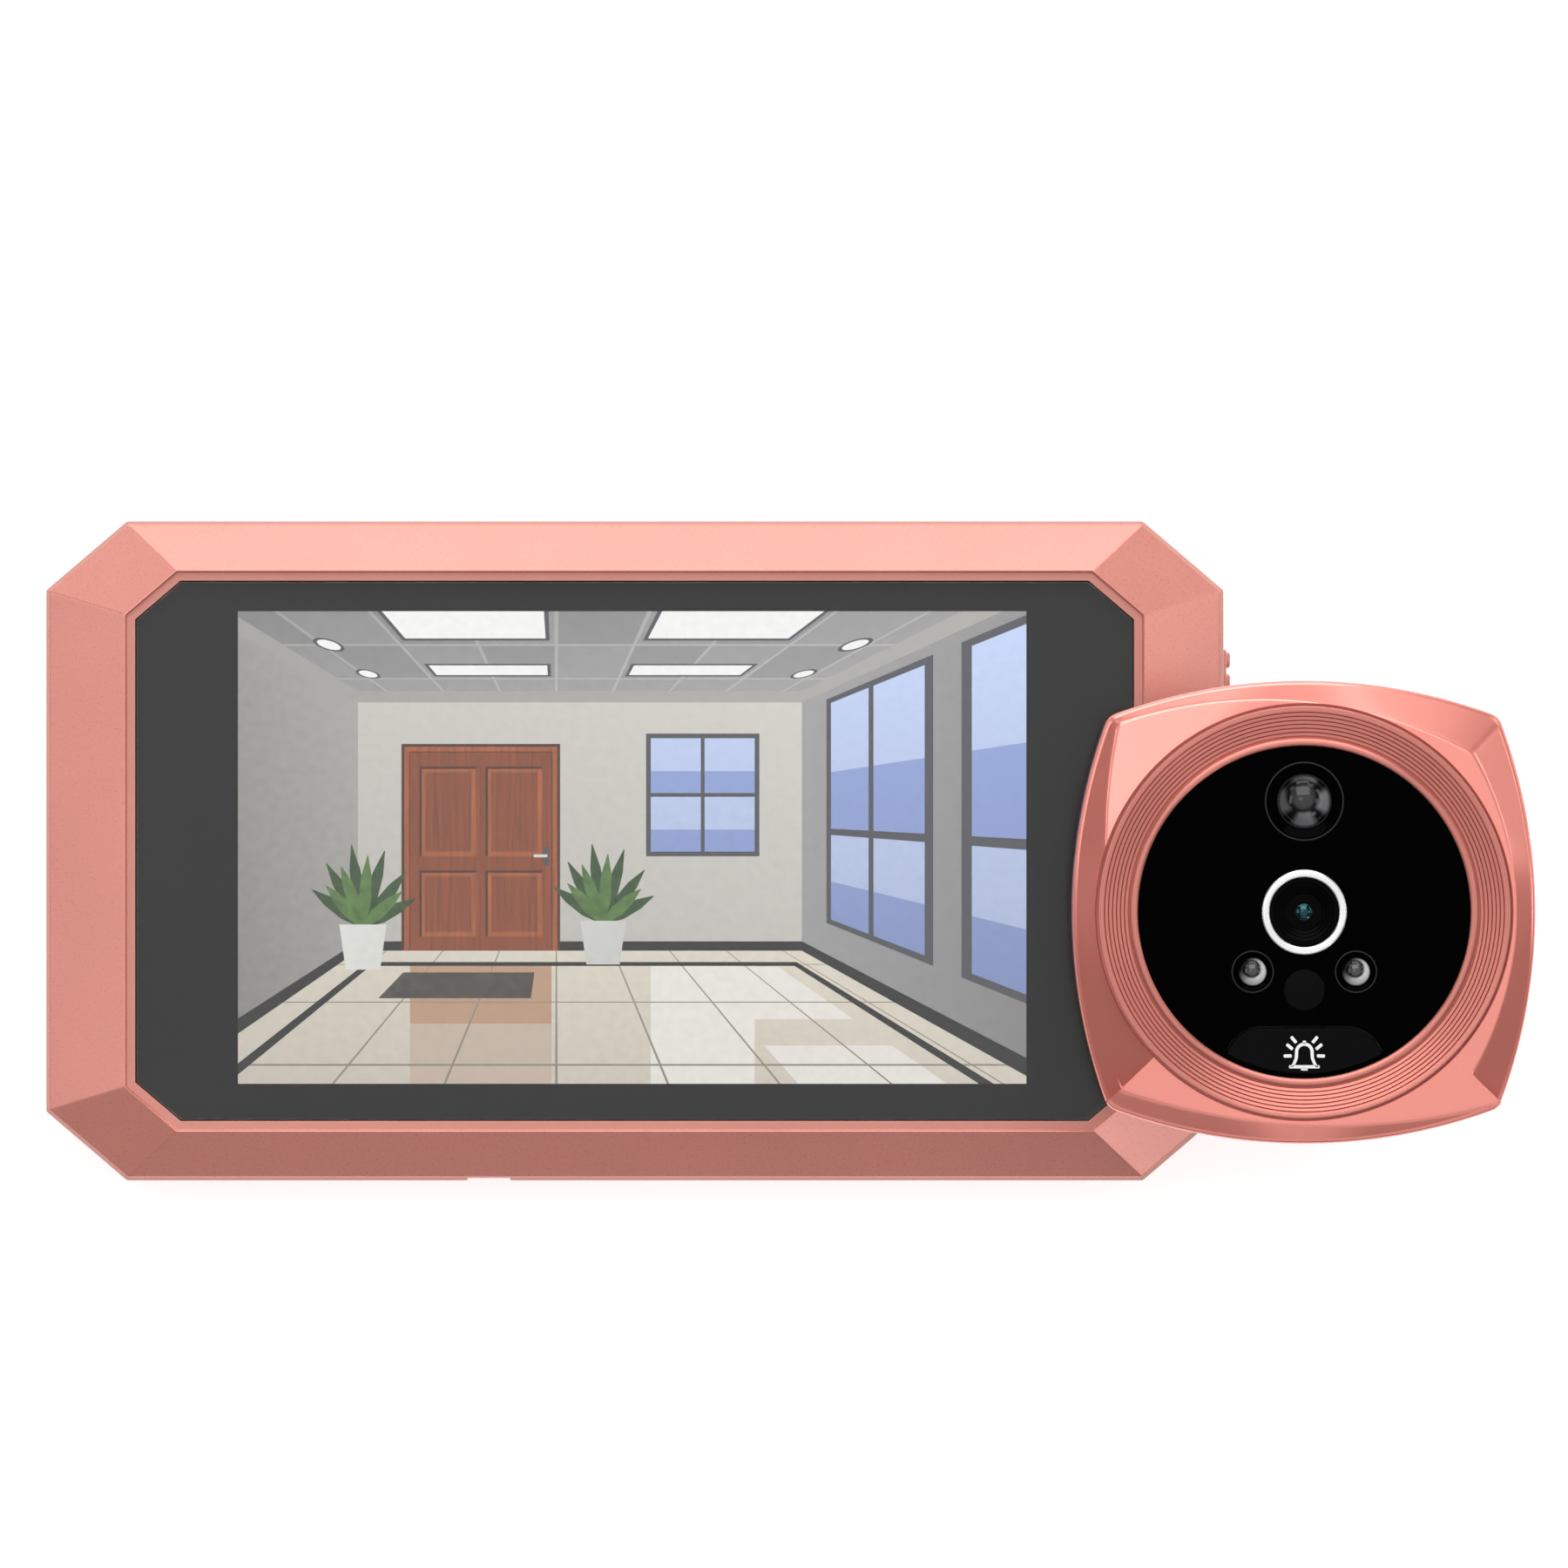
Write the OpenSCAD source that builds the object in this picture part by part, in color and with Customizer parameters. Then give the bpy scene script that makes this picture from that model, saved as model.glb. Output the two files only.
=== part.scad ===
// Peephole door camera: an indoor screen unit lying on its back, and the outdoor camera head
// standing on its hollow barrel beside it, so that both faces look up.
// Millimetres. +Z comes out of the screen, +Y is the top of the picture, +X its right side.
// The origin is the centre of the bracket's barrel hole, in the plane of the door.

/* [Screen case] */
// Corner cut along the width
corner_cut_x = 9.6; // [8.4:0.1:10.6]
// Corner cut along the height
corner_cut_y = 8.2; // [7.4:0.1:9.2]
// Width of the sloping facets at the left and right
side_facet_w = 9.6; // [8.6:0.1:10.6]
// Width of the sloping facets at the top and bottom
top_facet_w = 6; // [5.2:0.1:6.4]
// Fall of the facets from the rim to the outer edge
facet_drop = 4.7; // [4:0.1:5.2]
// Corner cut of the rim along the width
rim_cut_x = 6.1; // [5:0.1:7]
// Flat top of the rim
rim_flat = 0.2; // [0.15:0.05:0.4]
// Width of the lip between rim and glass
lip_w = 1.15; // [0.8:0.05:1.4]
// Fall of the lip from the rim to the glass
lip_drop = 0.8; // [0.5:0.1:1]
// Height of the frame's upright side below the facets
frame_side_h = 2.3; // [1.8:0.1:2.6]
// Wall of both shells
case_wall = 2; // [1.6:0.1:2.2]
// Thickness of the back
floor_t = 2; // [1.6:0.1:2.4]
// Bevel round the back
back_bevel = 1.2; // [0.6:0.1:1.5]
// Width of the nail notch in the bottom edge
notch_w = 5.1; // [3:0.1:8]
// Depth of the nail notch
notch_depth = 0.3; // [0.2:0.05:0.6]
// Place of the nail notch, left of the middle
notch_left = 17.4; // [10:0.2:30]

/* [Glass and display] */
// Thickness of the cover glass
glass_t = 1.2; // [0.8:0.1:1.4]
// Depth of the glass below the lip
glass_sink = 0.2; // [0.1:0.05:0.3]
// Gap round the glass
glass_gap = 0.1; // [0.05:0.05:0.2]
// Thickness of the printed mask
mask_t = 0.2; // [0.15:0.05:0.3]
// Width of the picture
picture_w = 93.6; // [84:0.2:108]
// Height of the picture
picture_h = 56.1; // [50:0.1:66]
// Picture centre, left of the middle
picture_left = 0.3; // [0:0.1:1]
// Picture centre, above the middle
picture_up = 0.4; // [0:0.1:0.8]
// Dark border of the glass beside the picture
mask_side = 12.35; // [8:0.05:16]
// Dark border of the glass above and below the picture
mask_end = 3.9; // [3.5:0.05:8]
// Border of the display beside the picture
border_side = 3; // [2:0.1:4]
// Border of the display above the picture
border_top = 1.3; // [0.9:0.1:1.6]
// Border of the display below the picture
border_low = 2.9; // [2:0.1:3.2]
// Thickness of the liquid crystal cell
cell_t = 1.4; // [1.2:0.1:1.6]
// Thickness of the backlight tray
tray_t = 1.5; // [1.2:0.1:1.7]
// Gap round the display
display_gap = 0.3; // [0.2:0.05:0.4]
// Thickness of the seat that carries the glass
seat_t = 2; // [1.6:0.1:2.2]

/* [Inside the case] */
// Space between the bracket's hooks and the main board
board_clear = 1.15; // [0.8:0.05:2]
// Space between the display and the main board
board_gap = 1.3; // [1.2:0.1:1.5]
// Thickness of the circuit boards
board_t = 1.2; // [1:0.1:1.4]
// Main board, reach to the left of the middle
board_left = 34; // [32:0.5:36]
// Space between the main board and the right case posts
board_post_gap = 3; // [1:0.5:5]
// Space between the main board and the top wall
board_top_gap = 3.2; // [2.6:0.2:6]
// Space beside the battery and the loudspeaker in their bays
bay_gap = 2.2; // [1:0.1:4]
// Space between the battery and the case posts
battery_end_gap = 1; // [0.5:0.1:6]
// Battery thickness
battery_t = 6; // [4:0.5:7]
// Loudspeaker thickness
speaker_t = 5; // [4:0.2:5.6]
// Loudspeaker centre, below the middle
speaker_down = 10; // [6:0.5:12]
// Radius of the case screw posts
post_r = 3; // [2.6:0.1:3.2]
// Case screw posts, in from the side edges
post_in_x = 8; // [7.6:0.1:8.6]
// Case screw posts, in from the top and bottom edges
post_in_y = 8.2; // [7.8:0.1:8.8]
// Radius of the board screw posts
board_post_r = 2.4; // [2:0.1:2.6]
// Board screw posts, in from the board's edges
board_post_in = 4; // [3.6:0.1:4.4]
// Radius of the screw shanks
shank_r = 0.9; // [0.7:0.05:1]
// Gap between a screw and its hole
screw_gap = 0.05; // [0.03:0.01:0.1]
// Radius of the screw heads
head_r = 1.8; // [1.5:0.1:2]
// Height of the screw heads
head_h = 0.9; // [0.7:0.1:1]
// Charging socket, right of the middle
usb_right = 18; // [14:0.5:22]
// Card socket, in from the main board's right edge
card_in = 18; // [16:0.5:22]

/* [Side key] */
// Key centre, above the middle
key_up = 17.5; // [15:0.5:20]
// Key length along the edge
key_len = 13; // [10:0.5:14]
// Key height
key_h = 4; // [3:0.2:4.4]
// Middle of the key, below the main board
key_below = 4.2; // [4:0.1:4.6]
// How far the key stands out
key_proud = 0.9; // [0.7:0.1:1.4]
// Travel of the key
key_travel = 0.6; // [0.4:0.1:0.8]
// Ridges on the key
key_ridges = 5; // [3:1:6]
// Gap round the key
key_gap = 0.2; // [0.15:0.05:0.3]

/* [Door bracket] */
// Width of the bracket
bracket_w = 70; // [62:1:76]
// Height of the bracket
bracket_h = 44; // [42:1:46]
// Thickness of the bracket's steel
bracket_t = 1.2; // [1:0.1:1.5]
// Room round the bracket in the recess
recess_room = 1; // [0.6:0.1:1.5]
// Depth of the recess in the back
recess_depth = 6; // [5.6:0.1:6.2]
// Wall of the recess
recess_wall = 1.6; // [1.4:0.1:1.8]
// Door screws, in from the bracket's sides
door_screw_in = 7; // [4:0.5:10]
// Radius of the door screw holes
door_screw_r = 1.7; // [1.5:0.1:2.2]
// Hooks, in from the bracket's sides
hook_in = 7; // [6:0.5:10]
// Upper hooks, above the middle
hook_up = 13; // [11:0.5:14]
// Lower hooks, below the middle
hook_down = 14; // [12:0.5:15]
// Width of a hook
hook_w = 8; // [6:0.5:9]
// Reach of a hook's lip
hook_lip = 3.5; // [2.5:0.1:3.8]
// Gap between a hook and the case
hook_gap = 0.25; // [0.2:0.05:0.3]
// Extra slide that frees the hooks
hook_free = 0.5; // [0.4:0.1:0.8]

/* [Camera head] */
// Width of the housing beside the grooved ring
head_border = 2.8; // [2.4:0.1:4]
// Radius of the bulging sides
bulge_r = 65.1; // [58:0.5:72]
// Height of the head's back above the screen rim
head_clear = 12; // [11.6:0.1:16]
// Middle of the head, below the middle of the screen unit
head_down = 7.1; // [2:0.1:10]
// Wall of the housing
head_wall = 2.2; // [1.8:0.1:2.4]
// Fall of the facets for each millimetre of width
facet_slope = 0.62; // [0.5:0.02:0.66]
// Width of the grooved ring
ring_w = 4.67; // [4.2:0.01:5.2]
// Gap round the grooved ring
ring_gap = 0.2; // [0.1:0.05:0.25]
// How far the ring stands above the face of the housing
ring_proud = 0.2; // [0.1:0.05:0.4]
// Fall of the grooved band towards the middle
band_drop = 0.75; // [0.4:0.05:0.9]
// Grooves in the ring
ring_grooves = 7; // [4:1:8]
// Depth of a groove
groove_depth = 0.16; // [0.1:0.02:0.2]
// Width of the smooth lip inside the grooves
bead_w = 0.93; // [0.7:0.01:1]
// Radius of the black disc
disc_r = 19.43; // [17.6:0.01:22]
// Thickness of the black disc
disc_t = 1.4; // [1.2:0.1:1.6]
// Depth of the disc below the face of the housing
disc_sink = 0.4; // [0.3:0.1:0.6]
// Gap round the pieces set into the disc
inset_gap = 0.06; // [0.04:0.01:0.1]
// Thickness of the back plate
plate_t = 2; // [1.6:0.1:2.2]
// Gap round the back plate
plate_gap = 0.15; // [0.1:0.05:0.2]
// Thickness of the foam pad
pad_t = 1; // [0.8:0.1:1.5]
// Foam pad, in from the sides of the head
pad_in = 6.2; // [4:0.1:9]
// Height of the posts that carry the head's board
board_lift = 4; // [3.6:0.1:4.2]
// Edge of the head's square board, in from the sides of the head
head_board_in = 8.7; // [8.2:0.1:9.4]

/* [Camera, lamps and sensors] */
// Outer radius of the camera ring
cam_ring_r = 5.01; // [4.8:0.01:5.3]
// Width of the camera ring
cam_ring_w = 0.92; // [0.8:0.01:1.1]
// Height of the camera ring above the disc
cam_ring_proud = 0.4; // [0.2:0.05:0.6]
// Radius of the camera lens glass
lens_r = 2.15; // [1.8:0.05:2.4]
// Space between the motion lens rim and the edge of the disc
pir_edge = 1.77; // [1.2:0.01:2.4]
// Radius of the motion lens
pir_r = 3.17; // [2.8:0.01:3.3]
// Width from the motion lens to the outside of its rim
pir_rim_w = 1.49; // [1.1:0.01:1.6]
// Height of the motion lens dome
pir_dome_h = 1.6; // [1.2:0.1:2]
// Lamps, to each side of the middle
led_side = 6.06; // [5.8:0.01:6.6]
// Lamps, below the middle
led_down = 7; // [6.8:0.05:7.3]
// Radius of a lamp
led_r = 1.7; // [1.5:0.05:1.75]
// Width of the ring round a lamp
led_ring_w = 0.8; // [0.5:0.05:0.9]
// Light sensor window, above the halfway point between camera and button
window_shift = 0.155; // [0:0.005:0.3]
// Radius of the light sensor window
window_r = 2.41; // [2.1:0.01:2.5]
// Microphone hole, in from the edge of the disc
mic_edge = 1.33; // [1:0.01:2]
// Radius of the microphone hole
mic_hole_r = 0.35; // [0.3:0.05:0.5]

/* [Bell button] */
// Length of the button from its top edge to its lower edge
bell_len = 5.4; // [5:0.05:5.8]
// Half width of the button
bell_half_w = 9.3; // [8.8:0.1:9.6]
// Radius of the button's shoulders
bell_shoulder_r = 4.4; // [3.6:0.1:4.8]
// Space between the button's lower edge and the edge of the disc
bell_edge = 0.43; // [0.3:0.01:0.8]
// Thickness of the button
bell_t = 1.6; // [1.4:0.1:1.8]
// Travel of the button
bell_travel = 0.6; // [0.4:0.1:0.7]
// Gap round the button
bell_gap = 0.25; // [0.2:0.05:0.3]
// Length of the stem below the button
bell_stem_len = 0.4; // [0.2:0.05:1.5]

/* [Barrel and clamp] */
// Diameter of the barrel over its thread
barrel_d = 12; // [11:0.2:13]
// Wall of the barrel's plain end
barrel_wall = 1; // [0.8:0.1:1.6]
// Step from the thread down to the plain end
pilot_step = 0.4; // [0.3:0.05:0.8]
// Length of the barrel's plain end
pilot_len = 13; // [10:0.5:14]
// Gap between the case and the barrel standing beside it
stand_gap = 2.8; // [2:0.1:4]
// Gap between the barrel and the holes that it passes through
barrel_gap = 0.3; // [0.2:0.05:0.4]
// Width of the flange inside the head
flange_w = 3; // [2:0.1:4]
// Thickness of the flange
flange_t = 1.5; // [1.2:0.1:1.8]
// Wall of the nut at its flats
nut_wall = 2.5; // [2:0.1:3]
// Height of the nut
nut_h = 5; // [4:0.2:5.4]
// Running gap of the nut on the barrel
nut_gap = 0.06; // [0.03:0.01:0.09]
// Width of the washer
washer_w = 3.2; // [2.5:0.1:3.7]
// Thickness of the washer
washer_t = 1; // [0.8:0.1:1.2]
// Gap between the pad, the washer and the nut
stack_gap = 0.2; // [0.1:0.05:0.3]

/* [Hidden] */
$fn = 96;
eps = 0.1;
paint = [0.86, 0.58, 0.52];
black = [0.05, 0.05, 0.055];
steel = [0.72, 0.73, 0.75];
board_green = [0.10, 0.32, 0.20];
dark_grey = [0.22, 0.22, 0.23];

// Size of the case: the glass frames the picture, and the lip and the facets frame the glass
case_w = picture_w + 2 * (mask_side + glass_gap + lip_w + side_facet_w);
case_h = picture_h + 2 * (mask_end + glass_gap + lip_w + top_facet_w);

// Levels in the screen unit, from the recess in the back up to the rim
recess_roof = recess_depth + recess_wall;
board_z = recess_roof + hook_gap + bracket_t + board_clear;
tray_z = board_z + board_t + board_gap;
cell_z = tray_z + tray_t;
seat_z = cell_z + cell_t;
glass_z = seat_z + mask_t;
lip_z = glass_z + glass_t + glass_sink;
case_d = lip_z + lip_drop;
edge_z = case_d - facet_drop;
part_z = edge_z - frame_side_h;
key_z = board_z - key_below;

// Sizes of the display
display_w = picture_w + 2 * border_side;
display_h = picture_h + border_top + border_low;
display_y = picture_up + (border_top - border_low) / 2;

// Outlines of the case: the corner cuts of the rim run parallel to those of the edge
rim_w = case_w - 2 * side_facet_w;
rim_h = case_h - 2 * top_facet_w;
rim_cut_y = rim_cut_x * corner_cut_y / corner_cut_x;
// The lip's cut reaches this far above the rim
lip_over = 0.1;
lip_slope = (lip_w - rim_flat) / lip_drop;

// Recess and hooks in the back
hook_travel = hook_lip + hook_free;
recess_half_w = bracket_w / 2 + recess_room;
recess_top = bracket_h / 2 + recess_room;
recess_low = bracket_h / 2 + recess_room + hook_travel;
hook_side = bracket_w / 2 - hook_in;
hook_places = [for (side = [-1, 1], y = [hook_up, -hook_down]) [side * hook_side, y]];
door_screw_side = bracket_w / 2 - door_screw_in;

// Bays for the battery and the loudspeaker, to the left and the right of the recess
bay_in_x = recess_half_w + recess_wall;
bay_out_x = case_w / 2 - case_wall;
bay_x = (bay_in_x + bay_out_x) / 2;
battery_w = bay_out_x - bay_in_x - 2 * bay_gap;
battery_len = case_h - 2 * (post_in_y + post_r + battery_end_gap);
speaker_d = battery_w;

// Screw places
post_places = [for (i = [-1, 1], j = [-1, 1]) [i * (case_w / 2 - post_in_x), j * (case_h / 2 - post_in_y)]];
board_edge_gap = 0.6;
board_low = case_h / 2 - case_wall - board_edge_gap;
board_up = case_h / 2 - case_wall - board_top_gap;
board_right = case_w / 2 - post_in_x - post_r - board_post_gap;
board_post_places = [for (x = [-board_left, board_right], y = [-board_low, board_up])
    [x - sign(x) * board_post_in, y - sign(y) * board_post_in]];
screw_bite = 2;
case_head_depth = 3;

// Sockets in the bottom edge hang below the board
usb_size = [7.6, 5.6, 2.6];
card_size = [14, 14.5, 1.9];
card_right = board_right - card_in;
cable_size = [12, 4.4];
cable_up = 4;
socket_gap = 0.3;
socket_in = 1;
shell_t = 0.35;
card_slot = [11.4, 11, 1];
usb_mouth_depth = 4.5;
usb_tongue = [4.5, 3.4, 0.6];
cable_mouth = [10, 1.2, 2.4];
cable_socket_sink = 0.1;

// Parts on the main board: width, height and place of each
chip_h = 1;
chips = [[13, 13, -8, -4], [8, 6, 12, 8], [5, 5, -22, 16], [6, 6, 30, -6], [4, 7, 40, 20]];

// Loudspeaker
speaker_wall = 1.5;
speaker_frame_h = 2.5;
cone_t = 0.6;
magnet_r = 8.3;

// Side key and its switch
key_flange = 1;
key_flange_t = 1.2;
key_groove_r = 0.3;
switch_size = [4, 6, 3.6];
switch_gap = 0.1;
switch_ear_w = 10;
nub_len = 1;
nub_r = 0.7;
nub_up = 1;
key_in_x = case_w / 2 - case_wall - key_gap - key_flange_t;

// Bell button and its switch
bell_tab = [8, 1, 0.5];
bell_switch_w = 5;
bell_switch_in = 2.4;
bell_switch_h = 1.2;
bell_plunger_r = 1.2;
bell_plunger_h = 0.5;
bell_tab_gap = 0.2;
bell_stem_gap = 0.1;

// Place of the camera head, and its levels from the back up
barrel_r = barrel_d / 2;
head_x = case_w / 2 + stand_gap + barrel_r;
head_y = -head_down;
pad_z = case_d + head_clear;
back_z = pad_z + pad_t;
inside_z = back_z + plate_t;
head_board_z = inside_z + board_lift;
head_board_top = head_board_z + board_t;
bell_plunger_z = head_board_top + bell_switch_h + bell_plunger_h;
bell_bottom = bell_plunger_z + bell_travel + bell_stem_gap + bell_stem_len;
disc_top = bell_bottom + bell_t;
disc_z = disc_top - disc_t;
face_z = disc_top + disc_sink;
head_d = face_z - back_z;
ring_ledge_t = 0.8;
ring_ledge_w = 0.75;
ring_z = disc_z - ring_ledge_t;
ring_shelf_t = 1.2;
ring_shelf_w = 1.6;
front_in_z = ring_z - ring_shelf_t;
disc_gap = 0.1;

// Sizes across the camera head, from the disc out
ring_in = disc_r + disc_gap;
ring_r = ring_in + ring_w;
head_half = ring_r + ring_gap + head_border;
pad_r = head_half - pad_in;
head_board_w = 2 * (head_half - head_board_in);

// Places on the disc
cam_ring_in = cam_ring_r - cam_ring_w;
pir_rim_r = pir_r + pir_rim_w;
pir_up = disc_r - pir_rim_r - pir_edge;
led_ring_r = led_r + led_ring_w;
mic_left = disc_r - mic_edge;
bell_edge_r = disc_r - bell_edge;
bell_down = bell_edge_r - bell_len;
bell_switch_y = -bell_down - bell_switch_in;
window_down = (cam_ring_r + bell_down) / 2 - window_shift;

// Facets of the head: each is a cone along one side, given by its shift along that side, the radius
// of its edge on the face and its width. They widen to the upper right and lower left corners, and
// the left and right ones end at the diagonals of the lower corners, set up by a short distance.
top_facet = [-4.95, 51.6, 2.4];
left_facet = [8.8, 63.2, 4.1];
right_facet = [-0.2, 37.6, 2.5];
low_facet = [3.2, 76, 2.3];
diagonal_up = 0.5;
function facet_reach(facet) = head_half - facet[2] - facet[1];
head_facets = [
    [top_facet[0], facet_reach(top_facet), top_facet[1]],
    [-facet_reach(left_facet), left_facet[0], left_facet[1]],
    [facet_reach(right_facet), right_facet[0], right_facet[1]],
    [low_facet[0], -facet_reach(low_facet), low_facet[1]]
];

// Posts in the corners of the head
corner_post_in = 9.2;
corner_post = head_half - corner_post_in;
corner_post_r = 2.2;
plate_post = [13, 5];
plate_post_r = 2;
plate_post_floor = 1;
screw_tip_room = 1;
pad_hole_gap = 1.2;
small_shank_r = 0.75;
small_head_r = 1.5;

// Camera, from the board up
holder_w = 8.6;
holder_h = 1.6;
lens_sink = 0.2;
lens_funnel_h = 1.2;
lens_funnel_r = 3.4;
lens_edge_h = 0.6;
lens_dome_h = 0.5;
lens_fit = 0.05;

// Motion sensor, lamps and other parts on the head's board
pir_sink = 0.2;
pir_skin = 0.6;
pir_shoulder = 0.08;
can_gap = 0.3;
led_sink = 0.1;
light_sensor_size = [3, 2, 0.9];
mic_can_r = 1.5;
mic_gap = 0.2;
head_socket_size = [12, 4, 1.6];
head_socket_down = 12;

// Barrel and clamp
pilot_r = barrel_r - pilot_step;
bore_r = pilot_r - barrel_wall;
flange_r = barrel_r + flange_w;
washer_hole_r = barrel_r + barrel_gap;
washer_r = washer_hole_r + washer_w;
nut_r = (barrel_r + nut_wall) / cos(30);
washer_z = pad_z - stack_gap - washer_t;
nut_z = washer_z - stack_gap - nut_h;

// Corner points of a rectangle with cut corners, anticlockwise, drawn in by a distance
function cut_rect(w, h, cut_x, cut_y, inset = 0) =
    let (
        x = w / 2 - inset,
        y = h / 2 - inset,
        shrink = 1 + inset * (sqrt(1 / pow(cut_x, 2) + 1 / pow(cut_y, 2)) - 1 / cut_x - 1 / cut_y),
        a = cut_x * shrink,
        b = cut_y * shrink
    )
    [[x - a, -y], [x, -y + b], [x, y - b], [x - a, y], [-x + a, y], [-x, y - b], [-x, -y + b], [-x + a, -y]];

function case_outline(inset = 0) = cut_rect(case_w, case_h, corner_cut_x, corner_cut_y, inset);
function rim_outline(inset = 0) = cut_rect(rim_w, rim_h, rim_cut_x, rim_cut_y, inset);
function at_height(points, z) = [for (p = points) [p[0], p[1], z]];

// Radius of the ball whose cap has the given base radius and height
function cap_ball(base_r, height) = (base_r * base_r + height * height) / (2 * height);

// Solid with sloping sides between two outlines with the same count of points
module slope_between(low, low_z, high, high_z) {
    count = len(low);
    polyhedron(
        points = concat(at_height(low, low_z), at_height(high, high_z)),
        faces = concat(
            [[for (i = [0:count - 1]) i]],
            [[for (i = [count - 1:-1:0]) count + i]],
            [for (i = [0:count - 1]) let (next = (i + 1) % count) [i, count + i, count + next, next]]
        )
    );
}

module prism(points, low_z, high_z) {
    translate([0, 0, low_z])
        linear_extrude(high_z - low_z)
            polygon(points);
}

// Box that is centred across X and Y and stands on a level
module block(size, at) {
    translate([at[0] - size[0] / 2, at[1] - size[1] / 2, at[2]])
        cube(size);
}

module rod(r, at, low_z, high_z) {
    translate([at[0], at[1], low_z])
        cylinder(h = high_z - low_z, r = r);
}

module tube(r, hole_r, at, low_z, high_z) {
    difference() {
        rod(r, at, low_z, high_z);
        rod(hole_r, at, low_z - eps, high_z + eps);
    }
}

// Round dome on a level
module dome(base_r, height, at) {
    ball = cap_ball(base_r, height);
    translate([at[0], at[1], at[2]])
        intersection() {
            translate([0, 0, height - ball])
                sphere(r = ball);
            block([3 * ball, 3 * ball, height + eps], [0, 0, 0]);
        }
}

module screw(r, big_r, height, at, head_low, tip_z) {
    top = head_low < tip_z ? tip_z : head_low;
    low = head_low < tip_z ? head_low + height : tip_z;
    rod(big_r, at, head_low, head_low + height);
    rod(r, at, low, top);
}

module nail_notch(low_z, high_z) {
    block([notch_w, 2 * notch_depth, high_z - low_z], [-notch_left, -case_h / 2, low_z]);
}

// Screen unit

module front_frame() {
    color(paint)
    difference() {
        union() {
            difference() {
                union() {
                    prism(case_outline(), part_z, edge_z);
                    slope_between(case_outline(), edge_z, rim_outline(), case_d);
                }
                slope_between(
                    rim_outline(lip_w), lip_z,
                    rim_outline(rim_flat - lip_slope * lip_over), case_d + lip_over
                );
                prism(rim_outline(lip_w), seat_z, case_d + eps);
                prism(case_outline(case_wall), part_z - eps, seat_z - seat_t);
                block(
                    [display_w + 2 * display_gap, display_h + 2 * display_gap, case_d],
                    [-picture_left, display_y, part_z]
                );
                nail_notch(part_z - eps, case_d);
            }
            for (p = post_places)
                rod(post_r, p, part_z, seat_z - seat_t);
        }
        for (p = post_places)
            rod(shank_r + screw_gap, p, part_z - eps, part_z + screw_bite + eps);
    }
}

module rear_cover() {
    color(paint)
    difference() {
        union() {
            difference() {
                union() {
                    slope_between(case_outline(back_bevel), 0, case_outline(), back_bevel);
                    prism(case_outline(), back_bevel, part_z);
                }
                prism(case_outline(case_wall), floor_t, part_z + eps);
            }
            translate([-recess_half_w - recess_wall, -recess_low - recess_wall, 0])
                cube([
                    2 * (recess_half_w + recess_wall),
                    recess_low + recess_top + 2 * recess_wall,
                    recess_roof
                ]);
            for (p = post_places)
                rod(post_r, p, floor_t / 2, part_z);
            for (p = board_post_places)
                rod(board_post_r, p, floor_t / 2, board_z);
        }
        translate([-recess_half_w, -recess_low, -eps])
            cube([2 * recess_half_w, recess_low + recess_top, recess_depth + eps]);
        for (p = hook_places)
            translate([p[0] - hook_w / 2 - hook_gap, p[1] - hook_travel - hook_gap, recess_depth - eps])
                cube([
                    hook_w + 2 * hook_gap,
                    hook_travel + bracket_t + 2 * hook_gap,
                    recess_wall + 2 * eps
                ]);
        block(
            [cable_size[0] + 2 * socket_gap, cable_size[1] + 2 * socket_gap, recess_wall + 2 * eps],
            [0, cable_up, recess_depth - eps]
        );
        translate([case_w / 2 - case_wall - eps, key_up - key_len / 2 - key_gap, key_z - key_h / 2 - key_gap])
            cube([case_wall + 2 * eps, key_len + 2 * key_gap, key_h + 2 * key_gap]);
        edge_opening(usb_right, usb_size);
        edge_opening(card_right, card_size);
        speaker_slots();
        for (p = post_places) {
            rod(head_r + screw_gap, p, -eps, case_head_depth);
            rod(shank_r + screw_gap, p, 0, part_z + eps);
        }
        for (p = board_post_places)
            rod(shank_r + screw_gap, p, board_z - screw_bite - screw_gap, board_z + eps);
        nail_notch(-eps, part_z + eps);
    }
}

// Opening in the bottom edge for a socket that hangs below the board
module edge_opening(x, size) {
    block(
        [size[0] + 2 * socket_gap, 2 * case_wall + eps, size[2] + socket_gap],
        [x, -case_h / 2, board_z - size[2] - socket_gap]
    );
}

module speaker_slots() {
    slot_count = 5;
    slot_w = 1.2;
    slot_pitch = 3;
    for (i = [0:slot_count - 1])
        block(
            [speaker_d / 2, slot_w, floor_t + 2 * eps],
            [bay_x, -speaker_down + (i - (slot_count - 1) / 2) * slot_pitch, -eps]
        );
}

module cover_glass() {
    color([0.3, 0.32, 0.34, 0.4])
        prism(rim_outline(lip_w + glass_gap), glass_z, glass_z + glass_t);
}

module screen_mask() {
    color(dark_grey)
    difference() {
        prism(rim_outline(lip_w + glass_gap), seat_z, glass_z);
        block([picture_w, picture_h, mask_t + 2 * eps], [-picture_left, picture_up, seat_z - eps]);
    }
}

module lcd_panel() {
    color([0.75, 0.78, 0.8])
        block([display_w, display_h, cell_t], [-picture_left, display_y, cell_z]);
}

module lcd_tray() {
    color(steel)
        block([display_w, display_h, tray_t], [-picture_left, display_y, tray_z]);
}

module main_board() {
    color(board_green)
    difference() {
        union() {
            translate([-board_left, -board_low, board_z])
                cube([board_left + board_right, board_low + board_up, board_t]);
            translate([board_right - eps, key_up - switch_ear_w / 2, board_z])
                cube([key_in_x - key_travel - switch_gap - board_right + eps, switch_ear_w, board_t]);
        }
        for (p = board_post_places)
            rod(shank_r + screw_gap, p, board_z - eps, board_z + board_t + eps);
    }
}

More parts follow.
